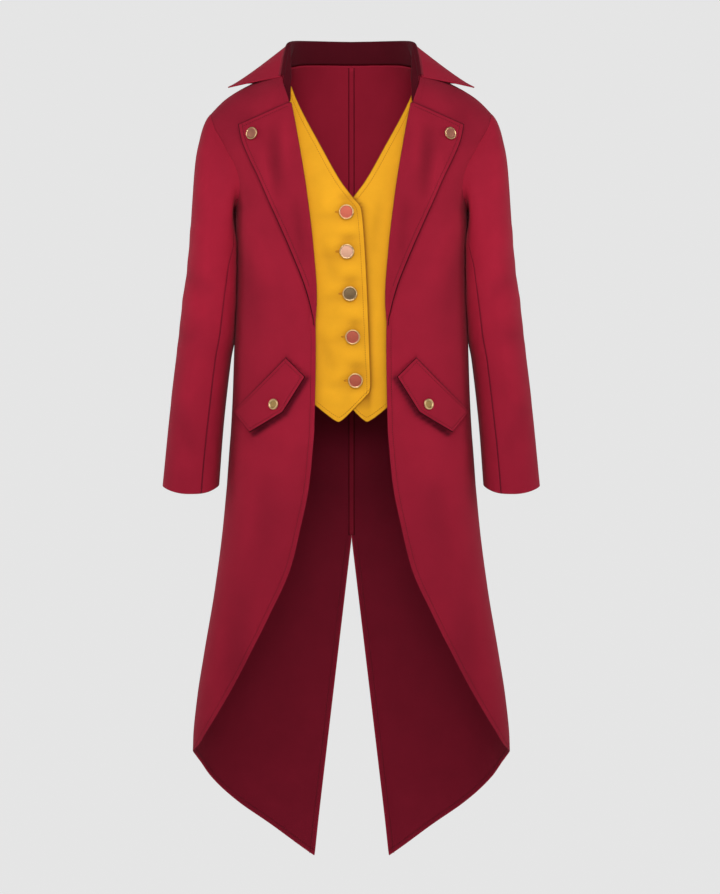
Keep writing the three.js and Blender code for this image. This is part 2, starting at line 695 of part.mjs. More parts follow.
function lapelPoint(along, column) {
  const rollZ = mix(lapelTopZ, lapelBottomZ, along);
  const tipZ = lapelEdge[lapelEdge.length - 1].z;
  const edgeZ = mix(tipZ, lapelBottomZ, along);
  const rollPlace = placeOf(lookUp(frontEdge, "z", "x", rollZ), rollZ);
  const roll = bodyPoint(rollPlace);
  const normal = bodyNormal(rollPlace);
  const reach = Math.max(lookUp(lapelEdge, "z", "x", edgeZ) - roll.x, 2.5);
  const ending = clamp((along - 0.82) / 0.18, 0, 1); // the roll flattens out on to the front at its lower end
  const share = Math.max(0, (column - rollColumns) / lapelLeafColumns);
  const x = roll.x + 1 + (reach - 1) * share;
  const z = mix(rollZ, edgeZ, share);
  const place = placeOf(x, z);
  const radius = (lapelHeight + coatWall / 2) / 2;
  if (column < rollColumns) {
    const turn = mix(mix(-0.5, 0.38, ending), 0.5, column / rollColumns) * Math.PI;
    const inward = new THREE.Vector3(-1, 0, 0).addScaledVector(normal, normal.x).normalize();
    const middle = roll.addScaledVector(normal, radius - coatWall / 2).addScaledVector(inward, mix(1, -1, ending));
    return middle.addScaledVector(inward, radius * Math.cos(turn)).addScaledVector(normal, radius * Math.sin(turn));
  }
  const lift = lapelHeight + lapelEdgeLift * share ** 3 * (1 - ending);
  return bodyPoint(place).addScaledVector(bodyNormal(place), lift);
}

const lapelGrid = gridOf(lapelRows, rollColumns + lapelLeafColumns, (along, _, r, c) => lapelPoint(along, c));
addPair("lapel", ...thicken(lapelGrid, gridNormals(lapelGrid), lapelWall), crimson);

// The mock waistcoat: two fronts sewn inside the coat's fronts, one buttoned over the other
const vestRows = 16;
const vestColumns = 10;

function vestGrid(depth, side) {
  return gridOf(vestRows, vestColumns, (along, across) => {
    const topZ = vestInnerEdge[vestInnerEdge.length - 1].z;
    const innerZ = mix(topZ, vestHem[0].z, along);
    const sewnZ = mix(vestSewnEdge[vestSewnEdge.length - 1].z, vestHem[vestHem.length - 1].z, along);
    const inner = lookUp(vestInnerEdge, "z", "x", innerZ);
    const sewn = lookUp(vestSewnEdge, "z", "x", sewnZ);
    const straight = mix(vestHem[0].z, vestHem[vestHem.length - 1].z, across);
    const hem = lookUp(vestHem, "share", "z", across) - straight;
    const x = side * mix(inner, sewn, across) + vestCentreX;
    const z = mix(innerZ, sewnZ, across) + hem * along ** 5;
    const place = placeOf(Math.abs(x), z);
    const point = bodyPoint(place).addScaledVector(bodyNormal(place), -mix(depth, vestDepth.sewn, across ** 1.5));
    return new THREE.Vector3(Math.sign(x) * point.x, point.y, point.z);
  });
}

function addVestFront(name, depth, side) {
  const outer = vestGrid(depth, side);
  const facing = gridNormals(outer).map((row) => row.map((n) => n.multiplyScalar(n.y < 0 ? 1 : -1)));
  add(name, wallBetween(outer, moveOut(outer, facing, -vestWall)), golden);
}

addVestFront("vest_front_right", vestDepth.over, -1);
addVestFront("vest_front_left", vestDepth.under, 1);

// The pocket flaps, sewn along their upper edge and standing a little off the coat below
const flapRows = 6;
const flapColumns = 10;

function flapPoint(down, along) {
  const { sewnLow, sewnHigh, freeHigh, point, freeLow } = flapCorners;
  const between = (p, q, t) => ({ x: mix(p.x, q.x, t), z: mix(p.z, q.z, t) });
  const free =
    along < flapPointShare
      ? between(freeLow, point, along / flapPointShare)
      : between(point, freeHigh, (along - flapPointShare) / (1 - flapPointShare));
  const spot = between(between(sewnLow, sewnHigh, along), free, down);
  const place = placeOf(spot.x, spot.z);
  return bodyPoint(place).addScaledVector(bodyNormal(place), flapSeat + flapLift * down ** 1.5);
}

const flapInner = gridOf(flapRows, flapColumns, (down, along) => flapPoint(down, along));
const flapNormals = gridNormals(flapInner).map((row) => row.map((n) => n.multiplyScalar(n.y < 0 ? 1 : -1)));
addPair("pocket_flap", moveOut(flapInner, flapNormals, flapWall), flapInner, crimson);

// Buttons: a dished disc with a rounded rim, its back 0.3 mm off the cloth
function buttonGeometry({ radius, rim, dish }) {
  const profile = [
    [0, 0],
    [radius * 0.9, 0],
    [radius, rim * 0.45],
    [radius * 0.96, rim * 0.9],
    [radius * 0.88, rim],
    [radius * 0.76, dish],
    [0, dish],
  ];
  const geometry = new THREE.LatheGeometry(profile.map(([x, y]) => new THREE.Vector2(x, y)), buttonSides);
  return geometry;
}

function addButton(name, shape, point, normal) {
  const mesh = add(name, buttonGeometry(shape), brass);
  mesh.quaternion.setFromUnitVectors(new THREE.Vector3(0, 1, 0), normal);
  mesh.position.copy(point);
}

// A point over the body's front, at x and z as seen, and the way out from it
function overBody(x, z, height) {
  const place = placeOf(Math.abs(x), z);
  const normal = bodyNormal(place);
  const point = bodyPoint(place).addScaledVector(normal, height);
  const side = new THREE.Vector3(Math.sign(x) || 1, 1, 1);
  return [point.multiply(side), normal.multiply(side)];
}

vestButtonSpots.forEach(({ x, z }, i) => {
  addButton(`vest_button_${i + 1}`, vestButton, ...overBody(x, z, vestButtonHeight));
});

const flapButtonPoint = flapPoint(flapButtonSpot.down, flapButtonSpot.along);
const flapButtonNormal = flapPoint(flapButtonSpot.down + 0.05, flapButtonSpot.along)
  .sub(flapButtonPoint)
  .cross(flapPoint(flapButtonSpot.down, flapButtonSpot.along + 0.05).sub(flapButtonPoint))
  .normalize();
flapButtonNormal.multiplyScalar(-Math.sign(flapButtonNormal.y));
flapButtonPoint.addScaledVector(flapButtonNormal, flapWall + buttonGap);

for (const [name, side] of [["left", 1], ["right", -1]]) {
  const flip = new THREE.Vector3(side, 1, 1);
  addButton(`lapel_button_${name}`, lapelButton, ...overBody(side * lapelButtonSpot.x, lapelButtonSpot.z, lapelButtonHeight));
  addButton(`flap_button_${name}`, flapButton, flapButtonPoint.clone().multiply(flip), flapButtonNormal.clone().multiply(flip));
}

export default coat;
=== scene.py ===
# A crimson cutaway tailcoat with a yellow mock waistcoat sewn inside its fronts, filled out as when it is worn
import bpy
import math
import numpy as np
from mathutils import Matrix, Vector


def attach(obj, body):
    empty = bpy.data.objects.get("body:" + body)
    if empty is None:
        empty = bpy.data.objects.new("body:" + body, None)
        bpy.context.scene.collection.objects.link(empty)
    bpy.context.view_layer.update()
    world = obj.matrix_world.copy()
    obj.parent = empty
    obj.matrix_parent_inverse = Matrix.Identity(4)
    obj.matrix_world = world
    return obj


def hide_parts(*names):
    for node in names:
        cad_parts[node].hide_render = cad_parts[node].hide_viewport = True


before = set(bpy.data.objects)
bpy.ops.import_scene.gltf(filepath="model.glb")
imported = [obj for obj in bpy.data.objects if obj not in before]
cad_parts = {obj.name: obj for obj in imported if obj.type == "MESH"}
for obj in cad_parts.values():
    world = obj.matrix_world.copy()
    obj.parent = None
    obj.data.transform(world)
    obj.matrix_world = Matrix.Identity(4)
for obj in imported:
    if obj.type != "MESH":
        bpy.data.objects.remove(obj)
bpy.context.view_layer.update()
mm = 0.001
shade = {}  # every material by its name

body = dict(underarmZ=-215, lineY=5, squareness=2.3, yokeRoundness=1.9, yokeSpread=62, yokeSpreadPower=1.3,
            backRise=85, neckHalfWidth=100, sideSeam=98, ventTop=-732, tipZ=-1251, tipX=61, frontHem=90,
            wall=2.0, gap=0.06)

torso = dict(
    z=[-1260, -1035, -970, -900, -800, -700, -600, -505, -420, -300, -215],
    halfWidth=[251, 247, 240.5, 229, 211, 198, 190, 184, 181, 178, 178],
    front=[100, 104, 108, 111, 115, 117, 118, 118, 118, 121, 121],
    back=[156, 146, 142, 138, 130, 122, 114, 104, 98, 106, 112])

shoulder = dict(x=[0, 60, 100, 157, 191, 216, 245], z=[14, 11, 5, -20, -40, -64, -100])

frontEdge = dict(
    z=[-546, -491, -424, -350, -262, -215, -171, -93, -54, -46, -32, -22, -12, -3, 5],
    x=[55.5, 54, 53, 54.5, 61, 66.5, 72.5, 86, 93.6, 95, 99.5, 103, 104.5, 103.5, 100])

lowerEdge = dict(
    angle=[14.3, 16.2, 19.1, 23.7, 31.1, 37.2, 51.5, 61.4, 73, 90, 106, 117, 137, 152, 168.8],
    z=[-546, -630, -685, -759, -821, -869, -963, -1006, -1038, -1054, -1078, -1106, -1158, -1197, -1251])

armhole = dict(
    rise=[0, 0.02, 0.055, 0.12, 0.2, 0.3, 0.4, 0.52, 0.74, 1],
    front=[98, 88, 78, 69, 64, 62.6, 63.6, 66.3, 67.5, 62.4],
    back=[98, 100.5, 103.5, 108.5, 112, 114, 114.6, 114.9, 114.8, 117.6])

lapelEdge = dict(z=[-388, -337, -279, -220.4, -166.5, -136.7, -108, -86],
                 x=[54.2, 66.3, 88, 113, 136.5, 151, 163, 168])

flap = dict(sewnLow=(178.5, -521), sewnHigh=(97.3, -436.5), freeHigh=(66.4, -465.5), point=(98.7, -519),
            freeLow=(147, -551), pointShare=0.45, wall=2.0, lift=8.0, seat=1.8)

backNeck = dict(x=[0, 25, 50, 75, 91, 100], z=[16, 16, 15.5, 13.5, 9, 5])


# The smooth value of a column where the key column has the value at: a cubic between neighbours, whose
# slopes are the harmonic mean of the slopes on both sides, so it never overshoots.
def curve(table, key, column, at):
    k, v = np.asarray(table[key], float), np.asarray(table[column], float)
    secant = np.diff(v) / np.diff(k)
    product = secant[:-1] * secant[1:]
    total = np.where(product > 0, secant[:-1] + secant[1:], 1.0)
    slope = np.concatenate([secant[:1], np.where(product > 0, 2 * product / total, 0.0), secant[-1:]])
    place = np.clip(at, k[0], k[-1])
    i = np.clip(np.searchsorted(k, place, side="left") - 1, 0, len(k) - 2)
    width = k[i + 1] - k[i]
    t = (place - k[i]) / width
    eased = t * t * (3 - 2 * t)
    return v[i] + (v[i + 1] - v[i]) * eased + width * t * (1 - t) * ((1 - t) * slope[i] - t * slope[i + 1])


# The value a share t of the way from a to b
def mix(a, b, t):
    return a + (b - a) * t


# The size to the power p, with the sign kept
def power(value, p):
    return np.sign(value) * np.abs(value) ** p


# Each vector over its own length
def unit(v):
    return v / np.maximum(np.linalg.norm(v, axis=-1, keepdims=True), 1e-12)


# 1 on the left and -1 on the right for x, and 1 for y and z: it turns a place on the left half to x's own side
def sideOf(x):
    return np.stack([np.where(x < 0, -1.0, 1.0), np.ones_like(x), np.ones_like(x)], -1)


# A place on the body's surface is (angle, h). The angle runs round the left half, from 0 in front to 180
# behind. Below the underarm h is the depth in metres, as a negative number. Above it h is the rise, which is
# 1 at the shoulder line.

# The shoulder line's height, lifted towards the middle of the back.
def shoulderZ(x, behind):
    inward = np.maximum(0, 1 - (x / body["neckHalfWidth"]) ** 2)
    return curve(shoulder, "x", "z", x) + np.where(behind, body["backRise"] * inward ** 1.5, 0)


# A rounded ring of half width w and depth d, x = w sin^p and y = line - d cos^p. In the yoke the ring
# widens, its depth shrinks as (1 - rise^r)^(1/r), and z climbs to the shoulder line.
def bodyPoint(angle, h):
    angle, h = np.broadcast_arrays(np.asarray(angle, float), np.asarray(h, float))
    p = 2 / body["squareness"]
    turn = np.radians(angle)
    below = h < 0
    z = np.where(below, body["underarmZ"] + h * 1000, body["underarmZ"])
    forward = power(np.cos(turn), p)
    depth = np.where(forward > 0, curve(torso, "z", "front", z) + body["lineY"],
                     curve(torso, "z", "back", z) - body["lineY"])
    rise = np.clip(h, 0, 1)
    halfWidth = curve(torso, "z", "halfWidth", z) + body["yokeSpread"] * rise ** body["yokeSpreadPower"]
    x = halfWidth * power(np.sin(turn), p)
    r = body["yokeRoundness"]
    fullness = np.maximum(0, 1 - rise ** r) ** (1 / r)
    top = shoulderZ(np.abs(x), angle > 90)
    return np.stack([x, body["lineY"] - depth * forward * fullness, z + rise * (top - body["underarmZ"])], -1)


# The place on the front or back that is seen at x and z: the ring's formula turned round.
def placeOf(x, z, behind=False):
    x, z = np.broadcast_arrays(np.asarray(x, float), np.asarray(z, float))
    top = shoulderZ(np.abs(x), behind)
    rise = np.clip((z - body["underarmZ"]) / (top - body["underarmZ"]), 0, 1)
    halfWidth = curve(torso, "z", "halfWidth", z) + body["yokeSpread"] * rise ** body["yokeSpreadPower"]
    angle = np.degrees(np.arcsin(power(np.clip(x / halfWidth, -1, 1), body["squareness"] / 2)))
    angle = np.where(behind, 180 - angle, angle)
    return angle, np.where(z < body["underarmZ"], (z - body["underarmZ"]) / 1000, rise)


# The way out of the cloth: the cross product of two short steps along it.
def bodyNormal(angle, h):
    step = 0.2
    along = bodyPoint(angle + step, h) - bodyPoint(angle - step, h)
    hi, lo = np.minimum(h + 0.001, np.where(h < 0, -1e-6, 0.9999)), np.minimum(h - 0.001, 0.9998)
    up = bodyPoint(angle, hi) - bodyPoint(angle, lo)
    return unit(np.cross(along, up))


# Unit cross products of the grid's two directions.
def gridNormals(grid):
    return unit(np.cross(np.gradient(grid, axis=0), np.gradient(grid, axis=1)))


# The same, turned to the side that towards points to
def outwardOf(grid, towards):
    normals = gridNormals(grid)
    return normals * np.sign((normals * towards).sum(-1, keepdims=True))


# The share of the wall's thickness that is left at a distance from the edge: a quarter circle.
def roundedEdge(distance, radius):
    t = np.clip(distance / radius, 0, 1)
    return np.sqrt(np.maximum(0, 1 - (1 - t) ** 2)) * 0.82 + 0.18


# Each point's distance from the grid's four borders: top, bottom, first, last.
def edgeDistances(grid):
    down = np.linalg.norm(np.diff(grid, axis=0), axis=-1)
    across = np.linalg.norm(np.diff(grid, axis=1), axis=-1)
    fromTop = np.concatenate([np.zeros((1, grid.shape[1])), np.cumsum(down, 0)])
    fromFirst = np.concatenate([np.zeros((grid.shape[0], 1)), np.cumsum(across, 1)], 1)
    return dict(top=fromTop, bottom=fromTop[-1:] - fromTop,
                first=fromFirst, last=fromFirst[:, -1:] - fromFirst)


# A closed wall between two grids: both faces, and a strip round the rim. The attribute for the lining and painted
# shade is 1 on the inner.
def shellMesh(name, outer, inner, mirror=False):
    rows, cols = outer.shape[:2]
    points = np.concatenate([outer.reshape(-1, 3), inner.reshape(-1, 3)]) * mm
    if mirror:
        points = points * [-1, 1, 1]
    index = np.arange(rows * cols).reshape(rows, cols)
    quads = np.stack([index[:-1, :-1], index[:-1, 1:], index[1:, 1:], index[1:, :-1]], -1).reshape(-1, 4)
    rim = np.concatenate([index[0, :-1], index[:-1, -1], index[-1, :0:-1], index[:0:-1, 0]])
    nextRim = np.roll(rim, -1)
    strip = np.stack([nextRim, rim, rim + rows * cols, nextRim + rows * cols], -1)
    faces = np.concatenate([quads, quads[:, ::-1] + rows * cols, strip])
    a, b, c = points[faces[:, 0]], points[faces[:, 1]], points[faces[:, 2]]
    d = points[faces[:, 3]]
    volume = np.einsum("ij,ij->i", a, np.cross(b, c)).sum() + np.einsum("ij,ij->i", a, np.cross(c, d)).sum()
    if volume < 0:
        faces = faces[:, ::-1]
    mesh = bpy.data.meshes.new(name)
    mesh.from_pydata(points.tolist(), [], faces.tolist())
    liningAndPaintedShade = np.concatenate([np.zeros(rows * cols), np.ones(rows * cols)]).astype(np.float32)
    mesh.attributes.new("liningAndPaintedShade", "FLOAT", "POINT").data.foreach_set("value", liningAndPaintedShade)
    u, v = np.meshgrid(np.arange(cols) / (cols - 1), np.arange(rows) / (rows - 1))
    layer = mesh.uv_layers.new(name="weave")
    flat = np.tile(np.stack([u, v], -1).reshape(-1, 2), (2, 1)).astype(np.float32)
    layer.data.foreach_set("uv", flat[faces.ravel()].ravel())
    mesh.polygons.foreach_set("use_smooth", np.ones(len(faces), bool))
    mesh.update()
    return mesh


# Links a mesh as a piece that rides on the one body, with its material, slot and the part it stands for
def addPiece(name, mesh, material, replaced=()):
    piece = bpy.data.objects.new(name, mesh)
    bpy.context.scene.collection.objects.link(piece)
    mesh.materials.append(shade[material])
    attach(piece, "root")
    if replaced:
        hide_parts(*replaced)
    return piece


# Two faces, wall / 2 to each side of the grid. Edges are rounded, and a shallow channel runs along
# the free edges at the stitching line.
def clothWall(grid, normals, wall, stitchAt=5.0, stitchDepth=0.35, free=()):
    far = edgeDistances(grid)
    nearest = np.minimum.reduce([far[e] for e in ("top", "bottom", "first", "last")])
    thick = roundedEdge(nearest, wall * 0.55)
    channel = sum(np.exp(-((far[e] - stitchAt) / 0.9) ** 2) for e in free) if free else 0
    out = grid + normals * (wall / 2 * thick - stitchDepth * channel)[..., None]
    back = grid - normals * (wall / 2 * thick)[..., None]
    return out, back


# Shares of a length, close together at both edges and even between them.
def spaced(length, count, edgeSteps):
    near = np.asarray(edgeSteps) / length
    middle = np.linspace(near[-1], 1 - near[-1], count + 1)[1:-1]
    return np.concatenate([near, middle, (1 - near)[::-1]])


edgeSteps = [0, 0.3, 0.8, 1.6, 3.2, 4.2, 5.0, 5.8, 7.0, 9.0]


# A principled shader with its constant values set
def newMaterial(name, slotColour, roughness, metallic=0.0, sheen=0.0, sheenTint=(1, 1, 1), specular=0.3):
    material = bpy.data.materials.new(name)
    material.use_nodes = True
    tree = material.node_tree
    shader = tree.nodes["Principled BSDF"]
    shader.inputs["Base Color"].default_value = (*slotColour, 1)
    shader.inputs["Roughness"].default_value = roughness
    shader.inputs["Metallic"].default_value = metallic
    shader.inputs["Sheen Weight"].default_value = sheen
    shader.inputs["Sheen Roughness"].default_value = 0.45
    shader.inputs["Sheen Tint"].default_value = (*sheenTint, 1)
    shader.inputs["Specular IOR Level"].default_value = specular
    shade[name] = material
    return tree, shader


# A node with its settings, each input linked or set. An underscore in an input's name stands for a space
def node(tree, kind, settings=None, **inputs):
    made = tree.nodes.new(kind)
    for key, value in (settings or {}).items():
        setattr(made, key, value)
    for key, value in inputs.items():
        socket = made.inputs[key.replace("_", " ")]
        if isinstance(value, bpy.types.NodeSocket):
            tree.links.new(value, socket)
        else:
            socket.default_value = value
    return made


# Cloth: two crossing wave bands give a fine twill, a fine noise its fuzz and a broad one its uneven dye.
# The attribute that carries the lining and painted shade turns the colour to the inside colour, and a little past
# both ends of that range: past 1 it paints deeper shade, below 0 painted light.
def clothMaterial(look):
    tree, shader = newMaterial(look["name"], look["colour"], look["roughness"], sheen=look["sheen"],
                               sheenTint=look["sheenTint"], specular=look["specular"])
    uv = node(tree, "ShaderNodeUVMap", dict(uv_map="weave")).outputs["UV"]
    place = node(tree, "ShaderNodeTexCoord").outputs["Object"]
    dye = node(tree, "ShaderNodeTexNoise", Vector=place, Scale=look["dyeScale"], Detail=4.0, Roughness=0.6)
    fuzz = node(tree, "ShaderNodeTexNoise", Vector=uv, Scale=look["fuzzScale"], Detail=3.0, Roughness=0.7)
    turned = node(tree, "ShaderNodeMapping", Vector=uv, Rotation=(0, 0, math.radians(look["twill"])))
    warp = node(tree, "ShaderNodeTexWave", Vector=turned.outputs["Vector"], Scale=0.314 / look["thread"],
                Distortion=0.6, Detail=1.0)
    weft = node(tree, "ShaderNodeTexWave", dict(bands_direction="Y"), Vector=turned.outputs["Vector"],
                Scale=0.314 / look["thread"], Distortion=0.6, Detail=1.0)
    crossed = node(tree, "ShaderNodeMath", dict(operation="MULTIPLY"))
    tree.links.new(warp.outputs["Fac"], crossed.inputs[0])
    tree.links.new(weft.outputs["Fac"], crossed.inputs[1])
    height = node(tree, "ShaderNodeMath", dict(operation="MULTIPLY_ADD"))
    tree.links.new(fuzz.outputs["Fac"], height.inputs[0])
    height.inputs[1].default_value = 0.8
    tree.links.new(crossed.outputs[0], height.inputs[2])
    ramp = node(tree, "ShaderNodeMapRange", Value=dye.outputs["Fac"], From_Min=0.3, From_Max=0.7,
                To_Min=1 - look["uneven"], To_Max=1 + look["uneven"])
    fine = node(tree, "ShaderNodeMapRange", Value=height.outputs[0], From_Min=0.0, From_Max=1.6,
                To_Min=1 - look["grain"], To_Max=1 + look["grain"])
    both = node(tree, "ShaderNodeMath", dict(operation="MULTIPLY"))
    tree.links.new(ramp.outputs[0], both.inputs[0])
    tree.links.new(fine.outputs[0], both.inputs[1])
    inside = node(tree, "ShaderNodeAttribute", dict(attribute_name="liningAndPaintedShade")).outputs["Fac"]
    side = node(tree, "ShaderNodeMix", dict(data_type="RGBA", clamp_factor=False))
    tree.links.new(inside, side.inputs["Factor"])
    side.inputs["A"].default_value = (*look["colour"], 1)
    side.inputs["B"].default_value = (*look["inside"], 1)
    tinted = node(tree, "ShaderNodeVectorMath", dict(operation="SCALE"))
    tree.links.new(side.outputs["Result"], tinted.inputs[0])
    tree.links.new(both.outputs[0], tinted.inputs["Scale"])
    tree.links.new(tinted.outputs[0], shader.inputs["Base Color"])
    bump = node(tree, "ShaderNodeBump", Strength=look["bump"], Distance=0.0003, Height=height.outputs[0])
    tree.links.new(bump.outputs["Normal"], shader.inputs["Normal"])


# The inside colours are those of the lining and inner faces, and also the colours that painted shade turns the
# outer faces towards.
crimsonLook = dict(name="crimsonTwill", colour=(0.33, 0.0125, 0.033), inside=(0.17, 0.0075, 0.02),
                   roughness=0.85, sheen=0.06, sheenTint=(1.0, 0.5, 0.55), specular=0.06, dyeScale=22.0,
                   fuzzScale=900.0, twill=45, thread=0.0008, uneven=0.05, grain=0.12, bump=0.3)
yellowLook = dict(name="yellowTwill", colour=(0.86, 0.395, 0.014), inside=(0.44, 0.165, 0.006), roughness=0.7,
                  sheen=0.03, sheenTint=(1.0, 0.9, 0.6), specular=0.12, dyeScale=26.0, fuzzScale=1000.0, twill=38,
                  thread=0.0006, uneven=0.035, grain=0.08, bump=0.22)
clothMaterial(crimsonLook)
# A copy of the crimson cloth with a far darker inside colour for deep painted shade: over the collar's stand and
# fold, in lines along the edges of lapels, flaps and welt, and on the flaps' undersides.
clothMaterial(dict(crimsonLook, name="crimsonTwillDeepShade", inside=(0.075, 0.0035, 0.009)))
clothMaterial(yellowLook)

threadLook = dict(crimsonThread=(0.11, 0.005, 0.012), yellowThread=(0.5, 0.19, 0.008),
                  holeThread=(0.58, 0.23, 0.012))
for name, colour in threadLook.items():
    tree, shader = newMaterial(name, colour, 0.7, sheen=0.05, specular=0.12)
    place = node(tree, "ShaderNodeTexCoord").outputs["Object"]
    twist = node(tree, "ShaderNodeTexNoise", Vector=place, Scale=2500.0)
    fibres = node(tree, "ShaderNodeBump", Strength=0.35, Distance=0.0002, Height=twist.outputs["Fac"])
    tree.links.new(fibres.outputs["Normal"], shader.inputs["Normal"])


# Metal: a slow noise varies the colour as tarnish does, and a fine one the polish
def metalMaterial(name, colour, tarnish, roughness, scale=300.0):
    tree, shader = newMaterial(name, colour, roughness, metallic=1.0)
    place = node(tree, "ShaderNodeTexCoord").outputs["Object"]
    cloud = node(tree, "ShaderNodeTexNoise", Vector=place, Scale=scale, Detail=3.0)
    wear = node(tree, "ShaderNodeMix", dict(data_type="RGBA"), Factor=cloud.outputs["Fac"])
    wear.inputs["A"].default_value = (*colour, 1)
    wear.inputs["B"].default_value = (*tarnish, 1)
    tree.links.new(wear.outputs["Result"], shader.inputs["Base Color"])
    fine = node(tree, "ShaderNodeTexNoise", Vector=place, Scale=scale * 8, Detail=2.0)
    polish = node(tree, "ShaderNodeMapRange", Value=fine.outputs["Fac"],
                  To_Min=roughness * 0.8, To_Max=roughness * 1.25)
    tree.links.new(polish.outputs[0], shader.inputs["Roughness"])


metalMaterial("goldRim", (0.70, 0.50, 0.26), (0.62, 0.42, 0.2), 0.3)
metalMaterial("copperFace", (0.74, 0.30, 0.2), (0.58, 0.25, 0.17), 0.38)
metalMaterial("pinkFace", (0.31, 0.072, 0.045), (0.25, 0.06, 0.04), 0.42)
metalMaterial("paleFace", (0.33, 0.19, 0.13), (0.29, 0.15, 0.10), 0.4)
metalMaterial("bronzeFace", (0.15, 0.10, 0.05), (0.08, 0.05, 0.03), 0.36, 900.0)
metalMaterial("brassFace", (0.40, 0.26, 0.10), (0.30, 0.19, 0.07), 0.42)
print("materials made")


# Each fold is a ridge from one seen place to another: its height falls off as exp(-(distance / width)^2),
# and it fades towards both ends. A negative height is a hollow.
def softFolds(grid, folds):
    total = np.zeros(grid.shape[:2])
    for fold in folds:
        start, end = np.array(fold["start"], float), np.array(fold["end"], float)
        way = end - start
        seen = grid[..., [0, 2]] - start
        t = np.clip(seen @ way / (way @ way), 0, 1)
        away = np.linalg.norm(seen - t[..., None] * way, axis=-1)
        fade = np.sin(np.pi * np.clip(t, 0.0, 1.0)) ** 0.7 if fold.get("taper", True) else 1.0
        total += fold["height"] * np.exp(-(away / fold["width"]) ** 2) * fade
    return total


bodyRows = dict(yoke=90, cutaway=150, columns=78)
hemSteps = np.array([0.006, 0.004, 0.0022, 0.001, 0.0])


# Even rows from 0 to 1 over the yoke and from 1 to 2 below it, with the last ones close to the hem
def rowsDown(lowerRows):
    yoke, lower = np.linspace(0, 1, bodyRows["yoke"]), 1 + np.linspace(0, 1, lowerRows)
    return np.concatenate([yoke[:-1], lower[:-1], 2 - hemSteps])


# The armhole's angle from its table, by a rise of (1 - share)^0.5 (1 - share^3)^0.9
def armholePlace(share, half):
    rise = (1 - share) ** 0.5 * (1 - share ** 3) ** 0.9
    return curve(armhole, "rise", half, rise), rise


# The front edge by a share of 0 to 1 in the yoke and 1 to 2 below it: neck, roll line, then the cutaway
def frontEdgePlace(s):
    share = np.clip(s - 1, 0, 1)
    upper = 0.38
    highZ = mix(shoulderZ(body["neckHalfWidth"], False), body["underarmZ"], np.clip(s, 0, 1) ** 1.25)
    midZ = mix(body["underarmZ"], lowerEdge["z"][0], np.clip(share / upper, 0, 1))
    z = np.where(s <= 1, highZ, midZ)
    angle, h = placeOf(curve(frontEdge, "z", "x", z), z)
    along = np.clip((share - upper) / (1 - upper), 0, 1)
    cut = mix(lowerEdge["angle"][0], body["frontHem"], along ** 1.7)
    cutH = (curve(lowerEdge, "angle", "z", cut) - body["underarmZ"]) / 1000
    isCut = share > upper
    straightH = np.where(s > 1, (z - body["underarmZ"]) / 1000, h)
    return np.where(isCut, cut, angle), np.where(isCut, cutH, straightH)


# The side seam's depth: a share of the hem's depth there
def sideSeamH(share):
    bottom = (curve(lowerEdge, "angle", "z", body["sideSeam"]) - body["underarmZ"]) / 1000
    return share * bottom


# Ruled from the front edge to the armhole and side seam, in angle and height, with the hem eased to its curve
def frontPlace(s, across):
    angle0, h0 = frontEdgePlace(s)
    armAngle, armRise = armholePlace(np.clip(s, 0, 1), "front")
    share = np.clip(s - 1, 0, 1)
    high = s < 1
    angle = mix(angle0, np.where(high, armAngle, body["sideSeam"]), across)
    rise = mix(np.maximum(h0, 0), armRise, across)
    straight = mix(np.minimum(h0, 0), sideSeamH(share), across)
    hem = (curve(lowerEdge, "angle", "z", angle) - body["underarmZ"]) / 1000
    low = mix(straight, np.maximum(hem, straight - 0.04), share ** 8)
    return angle, np.where(high, rise, np.minimum(low, -1e-6))


# Ruled from the middle of the back to the armhole and side seam. The top follows the neck seam, then the
# shoulder, and the hem takes over from the straight rule as share^6, faster than that near the vent
def backPlace(s, across):
    neckShare = 5 / 12
    neckX = body["neckHalfWidth"] * np.clip(across / neckShare, 0, 1) ** 0.9
    neckAngle, neckRise = placeOf(neckX, curve(backNeck, "x", "z", neckX), True)
    turnAngle = placeOf(body["neckHalfWidth"], shoulderZ(body["neckHalfWidth"], True), True)[0]
    topArm = armhole["back"][-1]
    past = np.clip((across - neckShare) / (1 - neckShare), 0, 1)
    isNeck = across <= neckShare
    topAngle = np.where(isNeck, neckAngle, mix(turnAngle, topArm, past))
    topRise = np.where(isNeck, neckRise, 1.0)
    yoke = np.clip(s, 0, 1)
    armAngle, armRise = armholePlace(yoke, "back")
    rise = topRise * mix(1 - yoke ** 1.25, armRise, across ** 3)
    shift = armAngle - mix(topArm, body["sideSeam"], yoke)
    highAngle = mix(topAngle, mix(180, body["sideSeam"], across), yoke) + shift * across ** 2
    share = np.clip(s - 1, 0, 1)
    z = mix(body["underarmZ"], body["tipZ"], share)
    vent = body["tipX"] * np.maximum(0, body["ventTop"] - z) / (body["ventTop"] - body["tipZ"])
    startAngle, startH = placeOf(vent, z, True)
    lowAngle = mix(startAngle, body["sideSeam"], across)
    straight = mix(startH, sideSeamH(share), across)
    hem = (curve(lowerEdge, "angle", "z", lowAngle) - body["underarmZ"]) / 1000
    low = mix(straight, hem, share ** (6 + 60 * (1 - across) ** 8))
    high = s < 1
    return np.where(high, highAngle, lowAngle), np.where(high, rise, np.minimum(low, -1e-6))


# Draws the named borders back by half of the seam's gap
def drawBack(grid, borders, by):
    step = np.zeros_like(grid)
    ends = dict(top=(0, 1), bottom=(-1, -2))
    sides = dict(first=(0, 1), last=(-1, -2))
    for border in borders:
        if border in ends:
            at, to = ends[border]
            step[at] += unit(grid[to] - grid[at]) * by
        else:
            at, to = sides[border]
            step[:, at] += unit(grid[:, to] - grid[:, at]) * by
    return grid + step


